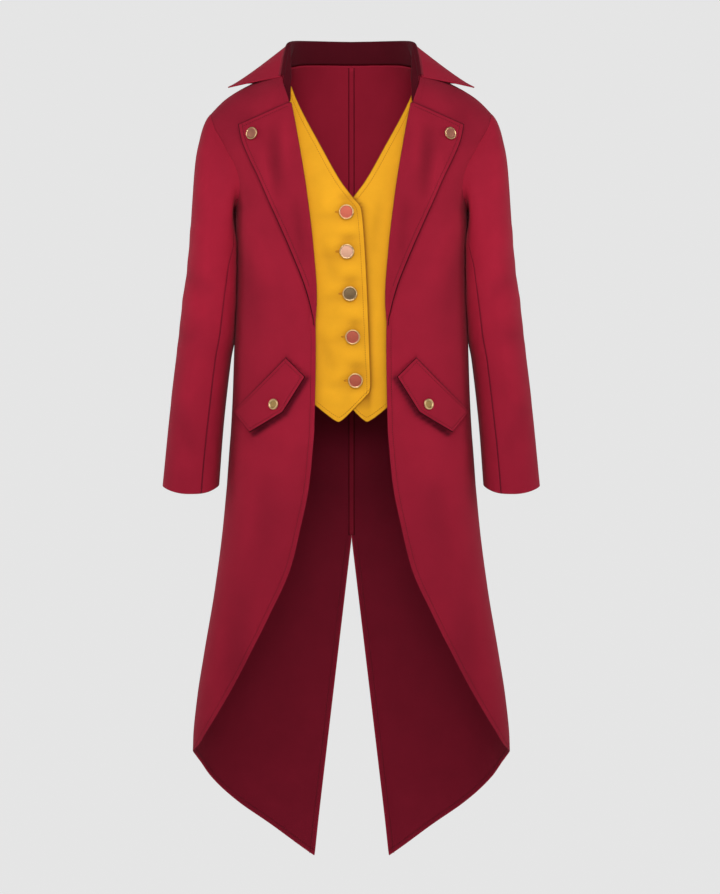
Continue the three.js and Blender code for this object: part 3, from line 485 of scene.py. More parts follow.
# Inside, the colour deepens from the ribs down; above that it is the coat's own. From 650 mm down the share eases
# back by up to 0.28, painted light on the lower tails' inside.
def liningShareWithPaintedLight(inner):
    z = inner[..., 2]
    return np.clip((-280 - z) / 140, 0, 1) * (1 - 0.28 * np.clip((-650 - z) / 450, 0, 1))


# One number for each point, kept under a name
def setAttribute(mesh, name, values):
    layer = mesh.attributes.get(name) or mesh.attributes.new(name, "FLOAT", "POINT")
    layer.data.foreach_set("value", np.asarray(values, np.float32).ravel())


# The weave's place on the cloth in metres: the distance from the first border and from the top
def setWeave(mesh, grid):
    far = edgeDistances(grid)
    flat = np.stack([far["first"], far["top"]], -1).reshape(-1, 2) * mm
    flat = np.concatenate([flat, flat]).astype(np.float32)
    corners = np.zeros(len(mesh.loops), np.int32)
    mesh.loops.foreach_get("vertex_index", corners)
    mesh.uv_layers["weave"].data.foreach_set("uv", flat[corners].ravel())


# A painted shadow line beside a drawn line, as seen from the front: exp(-(distance / width)^2) to its nearest
# point
def lineShade(grid, line, width):
    start, way = line[:-1], np.diff(line, axis=0)
    seen = grid[..., None, :][..., [0, 2]] - start
    t = np.clip((seen * way).sum(-1) / np.maximum((way * way).sum(-1), 1e-9), 0, 1)
    away = np.linalg.norm(seen - t[..., None] * way, axis=-1).min(-1)
    return np.exp(-(away / width) ** 2)


# A thin line of painted shade along the named borders: 1 at the edge, falling to 0 at the width
def edgeShade(grid, borders, width):
    far = edgeDistances(grid)
    return sum((np.clip(1.4 * (1 - far[b] / width), 0, 1) for b in borders), np.zeros(grid.shape[:2]))


# The middle of the wall, under the body's surface, drawn back at its seams
def wallMiddle(angle, h, seams):
    return drawBack(bodyPoint(angle, h) - bodyNormal(angle, h) * body["wall"] / 2, seams, body["gap"] / 2)


# One cloth piece, on the left and mirrored on the right: its wall, its weave, its lining and its painted shade
def clothPair(name, grid, normals, wall, material, free=(), fold=None, linings=True, stitchAt=5.0,
              stitchDepth=0.45, dark=(), darkWidth=1.3, shadeOut=0.0, shadeIn=0.0):
    if fold is not None:
        grid = grid + normals * fold[..., None]
    out, back = clothWall(grid, normals, wall, stitchAt, stitchDepth, free)
    for side in ("left", "right"):
        piece = addPiece(name + "_" + side + "_cloth", shellMesh(name, out, back, side == "right"), material,
                         [name + "_" + side])
        inside = np.clip(liningShareWithPaintedLight(back) * linings + shadeIn, 0, 1)
        # Painted shade in the folds' hollows and a little painted light on their ridges; the outer face adds
        # painted shade lines along the named edges and any painted shade or light given for it
        foldShadeAndLight = 0 if fold is None else np.clip(-fold * 0.2, -0.15, 0.5)
        face = np.clip(edgeShade(grid, dark, darkWidth) * 1.3 + shadeOut + foldShadeAndLight, -0.4, 1.8)
        setAttribute(piece.data, "liningAndPaintedShade", np.stack([face, inside]))
        setWeave(piece.data, grid)
    return out


frontRows, frontAcross = rowsDown(bodyRows["cutaway"] - 8), spaced(150, bodyRows["columns"], edgeSteps)
angle, h = frontPlace(*np.meshgrid(frontRows, frontAcross, indexing="ij"))
frontGrid, frontWay = wallMiddle(angle, h, ["top", "last"]), bodyNormal(angle, h)
frontFolds = [
    dict(start=(175, -215), end=(120, -330), width=17, height=1.6),
    dict(start=(172, -240), end=(142, -420), width=20, height=-1.3),
    dict(start=(70, -420), end=(120, -640), width=26, height=1.5),
    dict(start=(165, -560), end=(150, -900), width=26, height=2.2),
    dict(start=(125, -600), end=(190, -980), width=24, height=-2.0),
    dict(start=(195, -640), end=(215, -1000), width=20, height=1.6),
    dict(start=(150, -60), end=(190, -120), width=22, height=-1.2),
    dict(start=(118, -20), end=(140, -90), width=16, height=1.0),
]


# The front's painted shade: a shadow line round the lapel, one under the flap's free edge, a fine one along its
# sewn edge, and painted shade over the shoulder and towards the hem
def frontShade(grid, rise):
    side = np.array([[curve(lapelEdge, "z", "x", z), z] for z in np.linspace(-380, -86, 60)])
    top = np.array([[168, -86], [131, -70], [95, -55]])
    free = np.array([flap["freeLow"], flap["point"], flap["freeHigh"]])
    sewn = np.array([flap["freeLow"], flap["sewnLow"], flap["sewnHigh"], flap["freeHigh"]])
    fade = np.clip((grid[..., 2] + 370) / 110, 0, 1)
    total = np.maximum(lineShade(grid, side, 3.2) * 0.85 * fade, lineShade(grid, top, 3.0) * 0.9)
    total = np.maximum(total, lineShade(grid, free - [0.5, 2.0], 4.2) * 1.5)
    low = 0.15 * np.clip((-grid[..., 2] - 560) / 120, 0, 1)
    high = 0.4 * np.clip((rise - 0.5) / 0.4, 0, 1)
    return np.maximum(total, lineShade(grid, sewn, 1.8) * 0.6) + high + low


frontOut = clothPair("front", frontGrid, outwardOf(frontGrid, frontWay), body["wall"], "crimsonTwill",
                     free=("first", "bottom"), fold=softFolds(frontGrid, frontFolds),
                     stitchAt=7.5, shadeOut=frontShade(frontGrid, h))
print("fronts made")

backRows, backAcross = rowsDown(bodyRows["cutaway"]), spaced(220, bodyRows["columns"], edgeSteps)
angle, h = backPlace(*np.meshgrid(backRows, backAcross, indexing="ij"))
backGrid, backWay = wallMiddle(angle, h, ["top", "first", "last"]), bodyNormal(angle, h)
backFolds = [
    dict(start=(90, -380), end=(60, -640), width=24, height=1.8),
    dict(start=(140, -360), end=(150, -700), width=22, height=-1.6),
    dict(start=(60, -640), end=(100, -1130), width=26, height=2.6),
    dict(start=(120, -620), end=(165, -1060), width=26, height=-2.4),
    dict(start=(185, -560), end=(215, -1000), width=24, height=2.0),
    dict(start=(150, -120), end=(110, -230), width=22, height=-1.4),
]
backOut = clothPair("back", backGrid, outwardOf(backGrid, backWay), body["wall"], "crimsonTwill",
                    free=("bottom",), fold=softFolds(backGrid, backFolds),
                    stitchAt=7.5, shadeIn=-edgeShade(backGrid, ("bottom", "first"), 3.0) * 0.8)

# A narrow strip covers the seam inside the middle of the back. It lies under the wall by its own half
# thickness, and its two long edges are rounded
welt = dict(top=13.0, bottom=-726.0, wall=1.1, clear=0.15, lanes=[-5, -4.6, -4.2, -2, 0, 2, 4.2, 4.6, 5.0])
x, z = np.meshgrid(np.array(welt["lanes"]), np.linspace(welt["top"], welt["bottom"], 120))
spot = placeOf(np.abs(x), z, True)
inward = -bodyNormal(*spot) * sideOf(x)
weltGrid = bodyPoint(*spot) * sideOf(x) + inward * (body["wall"] + welt["clear"] + welt["wall"] / 2)
weltOut, weltIn = clothWall(weltGrid, inward, welt["wall"])
weltPiece = addPiece("back_seam_welt", shellMesh("back_seam_welt", weltOut, weltIn), "crimsonTwillDeepShade")
# Painted shade lines along the welt's two long edges, over the lining's share
weltShade = np.clip(edgeShade(weltGrid, ("first", "last"), 1.6) + 0.4 * liningShareWithPaintedLight(weltGrid), 0, 1)
setAttribute(weltPiece.data, "liningAndPaintedShade", np.stack([weltShade, weltShade]))
setWeave(weltPiece.data, weltGrid)
print("backs made")


sleeve = dict(
    z=[-637, -536, -443, -400, -350, -268],
    x=[248, 239.5, 229, 222.5, 217, 211],
    y=[-16, -4, 4, 6, 8, 11],
    across=[43.5, 42.5, 42.5, 44.5, 43.5, 39.5],
    deep=[52, 58, 63, 65, 67, 69])
sleeveShape = dict(innerSquareness=3.2, gapAtSeam=0.4, gapBelow=2.2, cuffDrop=9, cuffRise=40, foldSide=20)
sleeveSeams = dict(z=[-637, -500, -377, -304, -268, -215], fore=[15.5, 19.5, 20, 28, 44, 72],
                   hind=[158, 157, 154, 150, 146, 144])
sleeveRows = dict(head=44, tube=90, foreSeam=9, hindSeam=13, loop=20, headShare=6 / 15)


# The armhole's loop by a column of -10 to 20: before from 0, the underarm at 10, and behind up to 20 or
# down from 0
def loopPlace(column):
    c = np.asarray(column, float)
    before = (c >= 0) & (c <= 10)
    row = np.where(c < 0, -c, np.where(c <= 10, c, 20 - c)) / 10
    foreAngle, rise = armholePlace(row, "front")
    return np.where(before, foreAngle, armholePlace(row, "back")[0]), rise


# The angle round the tube: between the two seams it runs evenly, and the seams lie where their table says
def tubeAngle(column, z):
    c = np.asarray(column, float)
    fore, hind = curve(sleeveSeams, "z", "fore", z), curve(sleeveSeams, "z", "hind", z)
    foreAt, hindAt, loop = sleeveRows["foreSeam"], sleeveRows["hindSeam"], sleeveRows["loop"]
    under = mix(fore, hind, (c - foreAt) / (hindAt - foreAt))
    over = mix(hind - 360, fore, (c - (hindAt - loop)) / (foreAt - (hindAt - loop)))
    return np.where(c > foreAt, under, over)


# A tube, oval outside and squarer next to the body: x = middle - across sin^p, y = middle - deep cos^p,
# and the cuff drops as cos^2
def tubePoint(column, z):
    turn = np.radians(tubeAngle(column, z))
    p = np.where(np.sin(turn) > 0, 2 / sleeveShape["innerSquareness"], 1.0)
    drop = sleeveShape["cuffDrop"] * np.clip((sleeve["z"][0] - z) / sleeveShape["cuffRise"] + 1, 0, 1)
    drop = drop * np.cos(turn) ** 2
    x = curve(sleeve, "z", "x", z) - curve(sleeve, "z", "across", z) * power(np.sin(turn), p)
    y = curve(sleeve, "z", "y", z) - curve(sleeve, "z", "deep", z) * power(np.cos(turn), p)
    return np.stack([x, y, z - drop], -1)


# Below the underarm the sleeve's x is at least the body's, w (1 - |y|^q)^(1/q), and a small gap
def clearOfBody(points):
    x, y, z = points[..., 0], points[..., 1] - body["lineY"], points[..., 2]
    reach = np.where(y < 0, curve(torso, "z", "front", z) + body["lineY"],
                     curve(torso, "z", "back", z) - body["lineY"])
    q = body["squareness"]
    side = curve(torso, "z", "halfWidth", z) * (1 - np.minimum(1, np.abs(y) / reach) ** q) ** (1 / q)
    gap = mix(sleeveShape["gapAtSeam"], sleeveShape["gapBelow"], np.clip((body["underarmZ"] - z) / 22, 0, 1))
    clear = np.where(z <= body["underarmZ"], np.maximum(x, side + gap), x)
    return np.stack([clear, points[..., 1], z], -1)


# The head is a cubic from the armhole to the tube that leaves along the shoulder's slope and arrives
# straight down
def sleevePoint(along, column):
    along, column = np.broadcast_arrays(along, column)
    share = sleeveRows["headShare"]
    headZ, cuffZ = sleeve["z"][-1], sleeve["z"][0]
    tube = tubePoint(column, mix(headZ, cuffZ, np.clip((along - share) / (1 - share), 0, 1)))
    t = np.clip(along / share, 0, 1)[..., None]
    start, end = bodyPoint(*loopPlace(column)), tubePoint(column, np.full(column.shape, float(headZ)))
    reach = np.linalg.norm(end - start, axis=-1, keepdims=True)
    turn = np.radians(-90 + 18 * column)
    above = (1 - np.sin(turn)) / 2
    leave = unit(np.stack([np.ones_like(turn), -0.3 * np.cos(turn), 0.1 - 0.9 * above], -1))
    leave = leave * np.minimum(0.54 * reach, 112)
    arrive = np.array([0.1, 0, -1]) * 0.7 * reach
    head = (start * (1 + 2 * t) * (1 - t) ** 2 + leave * t * (1 - t) ** 2
            + end * t * t * (3 - 2 * t) + arrive * t * t * (t - 1))
    return clearOfBody(np.where((along < share)[..., None], head, tube))


# One sleeve piece between two columns. Its wall lies inside the tube, and its rows close up at both ends
def makeSleevePiece(name, fromColumn, toColumn, columns, girth, folds):
    share = sleeveRows["headShare"]
    rows = np.unique(np.concatenate([[0, 0.0012, 0.003, 0.006], np.linspace(0, share, sleeveRows["head"])[1:],
                                     np.linspace(share, 1, sleeveRows["tube"])[1:-1],
                                     [0.9945, 0.997, 0.9985, 0.9995, 1]]))
    acrossShares = spaced(girth, columns, edgeSteps[:6])
    along, column = np.meshgrid(rows, mix(fromColumn, toColumn, acrossShares), indexing="ij")
    grid = sleevePoint(along, column)
    normals = -gridNormals(grid)
    atSeam = np.clip(1 - along / 0.03, 0, 1)[..., None]  # there the wall hangs from the body's own normal
    middle = grid - unit(mix(normals, bodyNormal(*loopPlace(column)), atSeam)) * body["wall"] / 2
    middle = drawBack(drawBack(middle, ["top"], -0.35), ["first", "last"], body["gap"] / 2)
    # Painted shade lines along both seams and the armhole, and painted light across the middle of the sleeve,
    # strongest near 290 mm down
    clothPair(name, middle, normals, body["wall"], "crimsonTwill",
              fold=softFolds(middle, folds) * np.where(middle[..., 1] < sleeveShape["foldSide"], 1, 0.6),
              dark=("first", "last", "top"), shadeOut=-0.35 * np.exp(-((middle[..., 2] + 290) / 140) ** 2))


topFolds = [
    dict(start=(248, -235), end=(205, -300), width=13, height=1.8),
    dict(start=(262, -300), end=(212, -345), width=12, height=-1.5),
    dict(start=(265, -345), end=(215, -372), width=11, height=1.6),
    dict(start=(272, -410), end=(225, -398), width=12, height=-1.4),
    dict(start=(225, -420), end=(262, -520), width=14, height=1.3),
    dict(start=(270, -500), end=(235, -590), width=14, height=-1.2),
    dict(start=(235, -110), end=(222, -200), width=14, height=1.3),
]
fore, hind, loop = sleeveRows["foreSeam"], sleeveRows["hindSeam"], sleeveRows["loop"]
makeSleevePiece("top_sleeve", hind - loop, fore, 46, 210, topFolds)
makeSleevePiece("under_sleeve", fore, hind, 16, 90, topFolds[:4])
print("sleeves made")


collarTable = dict(
    share=[0, 0.25, 0.5, 0.7, 0.86, 1],
    rollX=[0, 42, 77, 93, 97.5, 103], rollY=[81, 73, 49, 19, -4, -37], rollZ=[53, 53, 51.5, 46.5, 28, -8],
    edgeX=[0, 52, 110, 156, 181, 189], edgeY=[97, 92, 68, 37, 9, -13], edgeZ=[-7, -8, -12, -15, -20, -25],
    lift=[3, 3, 5, 8, 6, 3], radius=[5, 5, 5, 4.5, 4, 3])
collar = dict(frontZ=-56, frontX=92.4, behind=3.9, tuck=5, tuckFrom=0.84, backShare=0.62, wall=2.1)


# The seam follows the back's neck, then eases down inside the front's neck edge, and its end is tucked behind
def neckSeamPoint(at):
    x = body["neckHalfWidth"] * np.sin((np.pi / 2) * np.clip(at / collar["backShare"], 0, 1))
    behind = bodyPoint(*placeOf(x, curve(backNeck, "x", "z", x), True))
    along = np.clip((at - collar["backShare"]) / (1 - collar["backShare"]), 0, 1)
    t = np.clip(3 * along, 0, 1)
    eased = t * t * (3 - 2 * t)
    z = mix(shoulderZ(body["neckHalfWidth"], False), collar["frontZ"], along)
    tuck = collar["tuck"] * np.clip((along - collar["tuckFrom"]) / (1 - collar["tuckFrom"]), 0, 1)
    spot = placeOf(mix(body["neckHalfWidth"], collar["frontX"], eased) + tuck, z)
    before = bodyPoint(*spot) - bodyNormal(*spot) * (collar["behind"] * eased)[..., None]
    return np.where((at <= collar["backShare"])[..., None], behind, before)


# Across the collar c runs from 0 at the seam, by 1 at the fold and 2 past it, to 3 at the leaf's edge:
# a straight stand, a half circle for the fold, and a leaf that bulges as sin
def collarPoint(share, c):
    at = np.abs(share)
    col = {k: curve(collarTable, "share", k, at) for k in collarTable if k != "share"}
    seam = neckSeamPoint(at)
    outward = unit((seam - [0, body["lineY"], 0]) * [1, 1, 0])
    raised = np.clip(1 - (at - collar["backShare"]) / 0.15, 0, 1)[..., None]
    seam = seam + (np.array([0, 0, 1.4]) - outward * 1.2) * raised
    top = np.stack([col["rollX"], col["rollY"], col["rollZ"]], -1)
    edge = np.stack([col["edgeX"], col["edgeY"], col["edgeZ"]], -1)
    radius = col["radius"][..., None]
    away = unit((edge - seam) * [1, 1, 0])
    up = np.array([0, 0, 1.0])
    centre = top + away * radius - up * radius
    cc = c[..., None]
    stand = mix(seam, centre - away * radius, np.clip(cc, 0, 1))
    turn = np.pi * (1 - np.clip(cc - 1, 0, 1))
    fold = centre + away * radius * np.cos(turn) + up * radius * np.sin(turn)
    t = np.clip(cc - 2, 0, 1)
    leaf = mix(centre + away * radius, edge, t) + away * col["lift"][..., None] * np.sin(np.pi * t)
    point = np.where(cc <= 1, stand, np.where(cc <= 2, fold, leaf))
    return point * sideOf(share)


endSteps = np.array([0.0, 0.0015, 0.004, 0.009, 0.018, 0.026, 0.034])
shares = np.unique(np.concatenate([np.linspace(-1, 1, 170), -1 + endSteps, 1 - endSteps]))
lanes = np.unique(np.concatenate([np.linspace(0, 1, 14), np.linspace(1, 2, 14), 2 + np.linspace(0, 1, 26),
                                  3 - np.array([0.004, 0.012, 0.028, 0.05, 0.075, 0.1])]))
share, lane = np.meshgrid(shares, lanes, indexing="ij")
collarGrid = collarPoint(share, lane)
collarNormals = gridNormals(collarGrid)
collarNormals *= np.sign(collarNormals[len(shares) // 2, -8, 1])
collarOut, collarIn = clothWall(collarGrid, collarNormals, collar["wall"], 6.0, 0.3, ("last",))
collarPiece = addPiece("collar_cloth", shellMesh("collar_cloth", collarOut, collarIn), "crimsonTwillDeepShade",
                       ["collar"])
# Painted shade over the stand and most of the fold, and a painted shade line along the leaf's edge; the inner
# face has none
standShade = np.clip((1.85 - lane) / 0.25, 0, 1) + edgeShade(collarGrid, ("last",), 1.2) * 0.6
setAttribute(collarPiece.data, "liningAndPaintedShade", np.stack([np.clip(standShade, 0, 1), np.zeros_like(lane)]))
setWeave(collarPiece.data, collarGrid)
print("collar made")


lapel = dict(top=-54, bottom=-388, tipZ=-86, height=3.7, edgeLift=2.6, wall=1.9, rows=110)


# Down the lapel a runs 0 to 1. Across it, u below 0 is the half circle of the roll and 0 to 1 is the leaf,
# which lies over the coat at a height that grows as u^3 towards the free edge. The roll opens and flattens
# on to the front over the last of its length
def lapelPoint(a, u):
    rollZ = mix(lapel["top"], lapel["bottom"], a)
    edgeZ = mix(lapel["tipZ"], lapel["bottom"], a)
    rollX = curve(frontEdge, "z", "x", rollZ)
    place = placeOf(rollX, rollZ)
    roll, normal = bodyPoint(*place), bodyNormal(*place)
    reach = np.maximum(curve(lapelEdge, "z", "x", edgeZ) - roll[..., 0], 2.5)
    leafShare = np.clip(u, 0, 1)
    x = roll[..., 0] + 1 + (reach - 1) * leafShare
    z = mix(rollZ, edgeZ, leafShare)
    spot = placeOf(x, z)
    ending = np.clip((a - 0.82) / 0.18, 0, 1)
    lift = lapel["height"] + lapel["edgeLift"] * leafShare ** 3 * (1 - ending)
    leaf = bodyPoint(*spot) + bodyNormal(*spot) * lift[..., None]
    radius = (lapel["height"] + body["wall"] / 2) / 2
    turn = (np.pi * mix(mix(-0.5, 0.38, ending), 0.5, np.clip(1 + u, 0, 1)))[..., None]
    inward = unit(np.array([-1.0, 0, 0]) + normal * normal[..., :1])
    middle = roll + normal * (radius - body["wall"] / 2) + inward * mix(1, -1, ending)[..., None]
    arc = middle + inward * radius * np.cos(turn) + normal * radius * np.sin(turn)
    return np.where((u < 0)[..., None], arc, leaf)


topSteps = [0.0012, 0.003, 0.007, 0.015, 0.024, 0.034]
downs = np.unique(np.concatenate([np.linspace(0, 1, lapel["rows"]), topSteps]))
lanes = np.unique(np.concatenate([np.linspace(-1, 0, 12), spaced(90, 26, edgeSteps)]))
a, u = np.meshgrid(downs, lanes, indexing="ij")
lapelGrid = lapelPoint(a, u)
lapelNormals = gridNormals(lapelGrid)
lapelNormals *= -np.sign(lapelNormals[20, -10, 1])
lapelFolds = [
    dict(start=(117, -84), end=(110, -200), width=12, height=-1.5),
    dict(start=(101, -66), end=(97, -165), width=9, height=0.8),
    dict(start=(135, -120), end=(118, -215), width=9, height=1.2),
    dict(start=(84, -190), end=(72, -300), width=9, height=-0.9),
]
# The lapels carry painted shade lines along their free edges and a little painted shade all over
lapelOut = clothPair("lapel", lapelGrid, lapelNormals, lapel["wall"], "crimsonTwillDeepShade",
                     free=("last", "top"), fold=softFolds(lapelGrid, lapelFolds), linings=False,
                     stitchAt=7.0, dark=("last", "top"), darkWidth=1.6, shadeOut=0.12)
print("lapels made")


vestInner = dict(z=[-490, -480, -429, -350, -298, -252, -220, -211, -196, -171.6, -117, -60, -36, -20],
                 x=[-25, -27, -25.5, -22.5, -20, -17, -14, -12, 0, 18.3, 49, 79, 89.5, 95])
vestSewn = dict(z=[-478, -400, -300, -215, -86], x=[92, 94, 101, 112, 136])
vestHem = dict(share=[0, 0.2, 0.365, 0.4, 0.44, 0.58, 0.7, 1],
               z=[-490, -514, -532, -534, -532, -520.5, -509, -478])
vest = dict(centreX=2.8, over=6.5, under=11, sewn=3.4, wall=1.6)
vestButtons = [dict(x=-7, z=-218.5), dict(x=-6.3, z=-277.7), dict(x=-1.7, z=-341), dict(x=2.4, z=-405.8),
               dict(x=6.6, z=-471.4)]


# Ruled from the V and front edge to the sewn edge, as seen from in front, then set back into the coat
def vestPoint(along, across, depth, side):
    innerZ = mix(vestInner["z"][-1], vestHem["z"][0], along)
    sewnZ = mix(vestSewn["z"][-1], vestHem["z"][-1], along)
    hem = curve(vestHem, "share", "z", across) - mix(vestHem["z"][0], vestHem["z"][-1], across)
    inner, sewn = curve(vestInner, "z", "x", innerZ), curve(vestSewn, "z", "x", sewnZ)
    x = side * mix(inner, sewn, across) + vest["centreX"]
    z = mix(innerZ, sewnZ, across) + hem * along ** 5
    spot = placeOf(np.abs(x), z)
    point = bodyPoint(*spot) - bodyNormal(*spot) * mix(depth, vest["sewn"], across ** 1.5)[..., None]
    return point * sideOf(x)


# A hollow round each button, as exp(-(distance / width)^2), and short pulls to both sides of it
def buttonDimples(grid):
    total = np.zeros(grid.shape[:2])
    for spot in vestButtons:
        dx, dz = grid[..., 0] - spot["x"], grid[..., 2] - spot["z"]
        total -= 1.3 * np.exp(-(dx ** 2 + dz ** 2) / 15 ** 2)
        total += 1.2 * np.exp(-((dx + 20) / 14) ** 2 - ((dz - 12) / 8) ** 2)
        total -= 1.1 * np.exp(-((dx - 4) / 14) ** 2 - ((dz - 22) / 6) ** 2)
        total -= 0.9 * np.exp(-((dx + 28) / 16) ** 2 - ((dz + 7) / 6) ** 2)
        total += 0.9 * np.exp(-((dx - 4) / 16) ** 2 - ((dz + 24) / 8) ** 2)
    return total


# The share of painted shade: round each button, beside the coat's edges, and on the under front as the over
# front's shadow beside its edge
def vestShade(grid, isOver):
    x, z = grid[..., 0], grid[..., 2]
    total = 0.55 * np.exp(-np.maximum(curve(frontEdge, "z", "x", z) - np.abs(x), 0) / 5.0)
    for spot in vestButtons:
        dx, dz = x - spot["x"], z - spot["z"]
        total += 0.4 * np.exp(-(dx / 17) ** 2 - ((dz - 3) / 15) ** 2) * isOver
        total += 0.2 * np.exp(-((dx - 2) / 11) ** 2 - ((dz - 22) / 5) ** 2) * isOver
    if not isOver:
        overEdge = vest["centreX"] - curve(vestInner, "z", "x", z)
        total += 1.25 * np.exp(-np.maximum(x - overEdge, 0) / 3.2) * np.clip((z + 520) / 30, 0.1, 1)
    return np.clip(total, 0, 1.4)


vestFolds = [
    dict(start=(-45, -250), end=(-20, -330), width=10, height=-1.2),
    dict(start=(-48, -400), end=(-22, -465), width=10, height=-1.4),
    dict(start=(-38, -160), end=(-25, -230), width=12, height=1.0),
    dict(start=(45, -190), end=(34, -290), width=9, height=-1.2),
    dict(start=(44, -330), end=(38, -470), width=8, height=1.0),
    dict(start=(-50, -480), end=(-10, -505), width=9, height=0.9),
]
vestSteps = np.array([0.0006, 0.0016, 0.004, 0.008, 0.012, 0.016])
vestDowns = np.unique(np.concatenate([np.linspace(0, 1, 120), 1 - vestSteps]))
vestLanes = spaced(110, 50, edgeSteps)
along, across = np.meshgrid(vestDowns, vestLanes, indexing="ij")
vestOuts = {}
for name, depth, side in [("vest_front_right", vest["over"], -1), ("vest_front_left", vest["under"], 1)]:
    face = vestPoint(along, across, depth, side)
    normals = gridNormals(face)
    normals *= -np.sign(normals[..., 1:2])
    fold = buttonDimples(face) * (1 if side < 0 else 0.2) + softFolds(face, vestFolds)
    grid = face - normals * (vest["wall"] / 2) + normals * np.clip(fold, -2.2, 0.8)[..., None]
    out, back = clothWall(grid, normals, vest["wall"], 7.0, 0.3, ("first", "bottom"))
    piece = addPiece(name + "_cloth", shellMesh(name, out, back), "yellowTwill", [name])
    # Painted shade on the face: the shade above, lines along the free edges, the folds' hollows, and a little
    # painted light on their ridges
    faceShade = vestShade(face, side < 0) + edgeShade(grid, ("first", "bottom"), 1.2)
    faceShade += np.clip(-fold * 0.14, -0.1, 0.4)
    setAttribute(piece.data, "liningAndPaintedShade", np.stack([np.clip(faceShade, -0.1, 1.6), np.ones(back.shape[:2])]))
    setWeave(piece.data, grid)
    vestOuts[name] = (out, normals)
print("waistcoat made")


# Straight across from the sewn edge to the cornered free edge, over the coat by seat + lift down^1.5
def flapPoint(down, along):
    corner = {k: np.array(flap[k], float) for k in ("sewnLow", "sewnHigh", "freeHigh", "point", "freeLow")}
    at = along[..., None]
    turn = flap["pointShare"]
    low = mix(corner["freeLow"], corner["point"], np.clip(at / turn, 0, 1))
    high = mix(corner["point"], corner["freeHigh"], np.clip((at - turn) / (1 - turn), 0, 1))
    free = np.where(at < turn, low, high)
    seen = mix(mix(corner["sewnLow"], corner["sewnHigh"], at), free, down[..., None])
    spot = placeOf(seen[..., 0], seen[..., 1])
    return bodyPoint(*spot) + bodyNormal(*spot) * (flap["seat"] + flap["lift"] * down ** 1.5)[..., None]


flapDowns, flapLanes = spaced(44, 12, edgeSteps), spaced(116, 44, edgeSteps)
down, along = np.meshgrid(flapDowns, flapLanes, indexing="ij")
flapInner = flapPoint(down, along)
flapNormals = gridNormals(flapInner)
flapNormals *= -np.sign(flapNormals[..., 1:2])
flapGrid = flapInner + flapNormals * flap["wall"] / 2
# The flaps carry painted shade lines round all their edges, and their inner faces are painted wholly in the deep
# shade colour
flapOut = clothPair("pocket_flap", flapGrid, flapNormals, flap["wall"], "crimsonTwillDeepShade",
                    free=("first", "bottom", "last"), linings=False, stitchAt=6.0,
                    dark=("first", "bottom", "last", "top"), shadeIn=1.0)
print("flaps made")


thread = dict(length=2.5, pitch=3.4, thick=0.42)


# The line inside a grid at a distance from one of its borders, found on each row or column by linear steps
def insetLine(grid, normals, border, distance):
    turned = border in ("top", "bottom")
    g = np.swapaxes(grid, 0, 1) if turned else grid
    n = np.swapaxes(normals, 0, 1) if turned else normals
    if border in ("last", "bottom"):
        g, n = g[:, ::-1], n[:, ::-1]
    steps = np.linalg.norm(np.diff(g, axis=1), axis=-1)
    far = np.concatenate([np.zeros((len(g), 1)), np.cumsum(steps, 1)], 1)
    i = np.clip((far < distance).sum(1) - 1, 0, far.shape[1] - 2)
    rows = np.arange(len(g))
    t = ((distance - far[rows, i]) / np.maximum(far[rows, i + 1] - far[rows, i], 1e-9))[:, None]
    keep = far[:, -1] > distance * 1.6
    return mix(g[rows, i], g[rows, i + 1], t)[keep], unit(mix(n[rows, i], n[rows, i + 1], t))[keep]


# Resamples a line into even stitches and lays a little pointed pillow on each: rings of six at -1, -0.62,
# 0.62 and 1 of the half length, with radii of 0.3, 1, 1 and 0.3 of the thread's
def stitchMesh(name, lines):
    ringAt, ringSize = np.array([-1, -0.62, 0.62, 1]), np.array([0.3, 1, 1, 0.3])
    turn = np.arange(6) * np.pi / 3
    points, faces, total = [], [], 0
    for line, normals in lines:
        run = np.concatenate([[0], np.cumsum(np.linalg.norm(np.diff(line, axis=0), axis=1))])
        count = int(run[-1] / thread["pitch"])
        if count < 2:
            continue
        at = (np.arange(count) + 0.5) * run[-1] / count
        sample = lambda where, data: np.stack([np.interp(where, run, data[:, k]) for k in range(3)], -1)
        centre, up = sample(at, line), unit(sample(at, normals))
        way = unit(sample(at + 0.6, line) - sample(at - 0.6, line))
        sideways = unit(np.cross(up, way))
        up = np.cross(way, sideways)
        wide = ((ringSize * thread["thick"])[:, None] * np.cos(turn))[None, ..., None]
        high = ((ringSize * thread["thick"])[:, None] * np.sin(turn))[None, ..., None] * 0.7
        ring = (ringAt[None, :, None, None] * thread["length"] / 2 * way[:, None, None]
                + wide * sideways[:, None, None] + high * up[:, None, None])
        pillow = centre[:, None, None] + up[:, None, None] * thread["thick"] * 0.25 + ring
        points.append(pillow.reshape(-1, 3))
        k = np.arange(6)
        one = []
        for r in range(3):
            low, following = r * 6, (k + 1) % 6
            one.append(np.stack([low + k, low + following, low + 6 + following, low + 6 + k], -1))
        quads = np.concatenate(one)
        offsets = total + np.arange(count)[:, None, None] * 24
        faces += (quads[None] + offsets).reshape(-1, 4).tolist()
        caps = np.stack([k[::-1], 18 + k])
        faces += (caps[None] + offsets).reshape(-1, 6).tolist()
        total += count * 24
    mesh = bpy.data.meshes.new(name)
    mesh.from_pydata((np.concatenate(points) * mm).tolist(), [], faces)
    mesh.polygons.foreach_set("use_smooth", np.ones(len(faces), bool))
    mesh.update()
    return mesh


# The stitches of some lines as one piece, or as two with the right one mirrored
def addStitches(name, lines, material, both=True):
    for ending, sign in (("_left", 1), ("_right", -1)) if both else (("", 1),):
        flipped = [(line * [sign, 1, 1], normals * [sign, 1, 1]) for line, normals in lines]
        addPiece(name + ending, stitchMesh(name + ending, flipped), material)


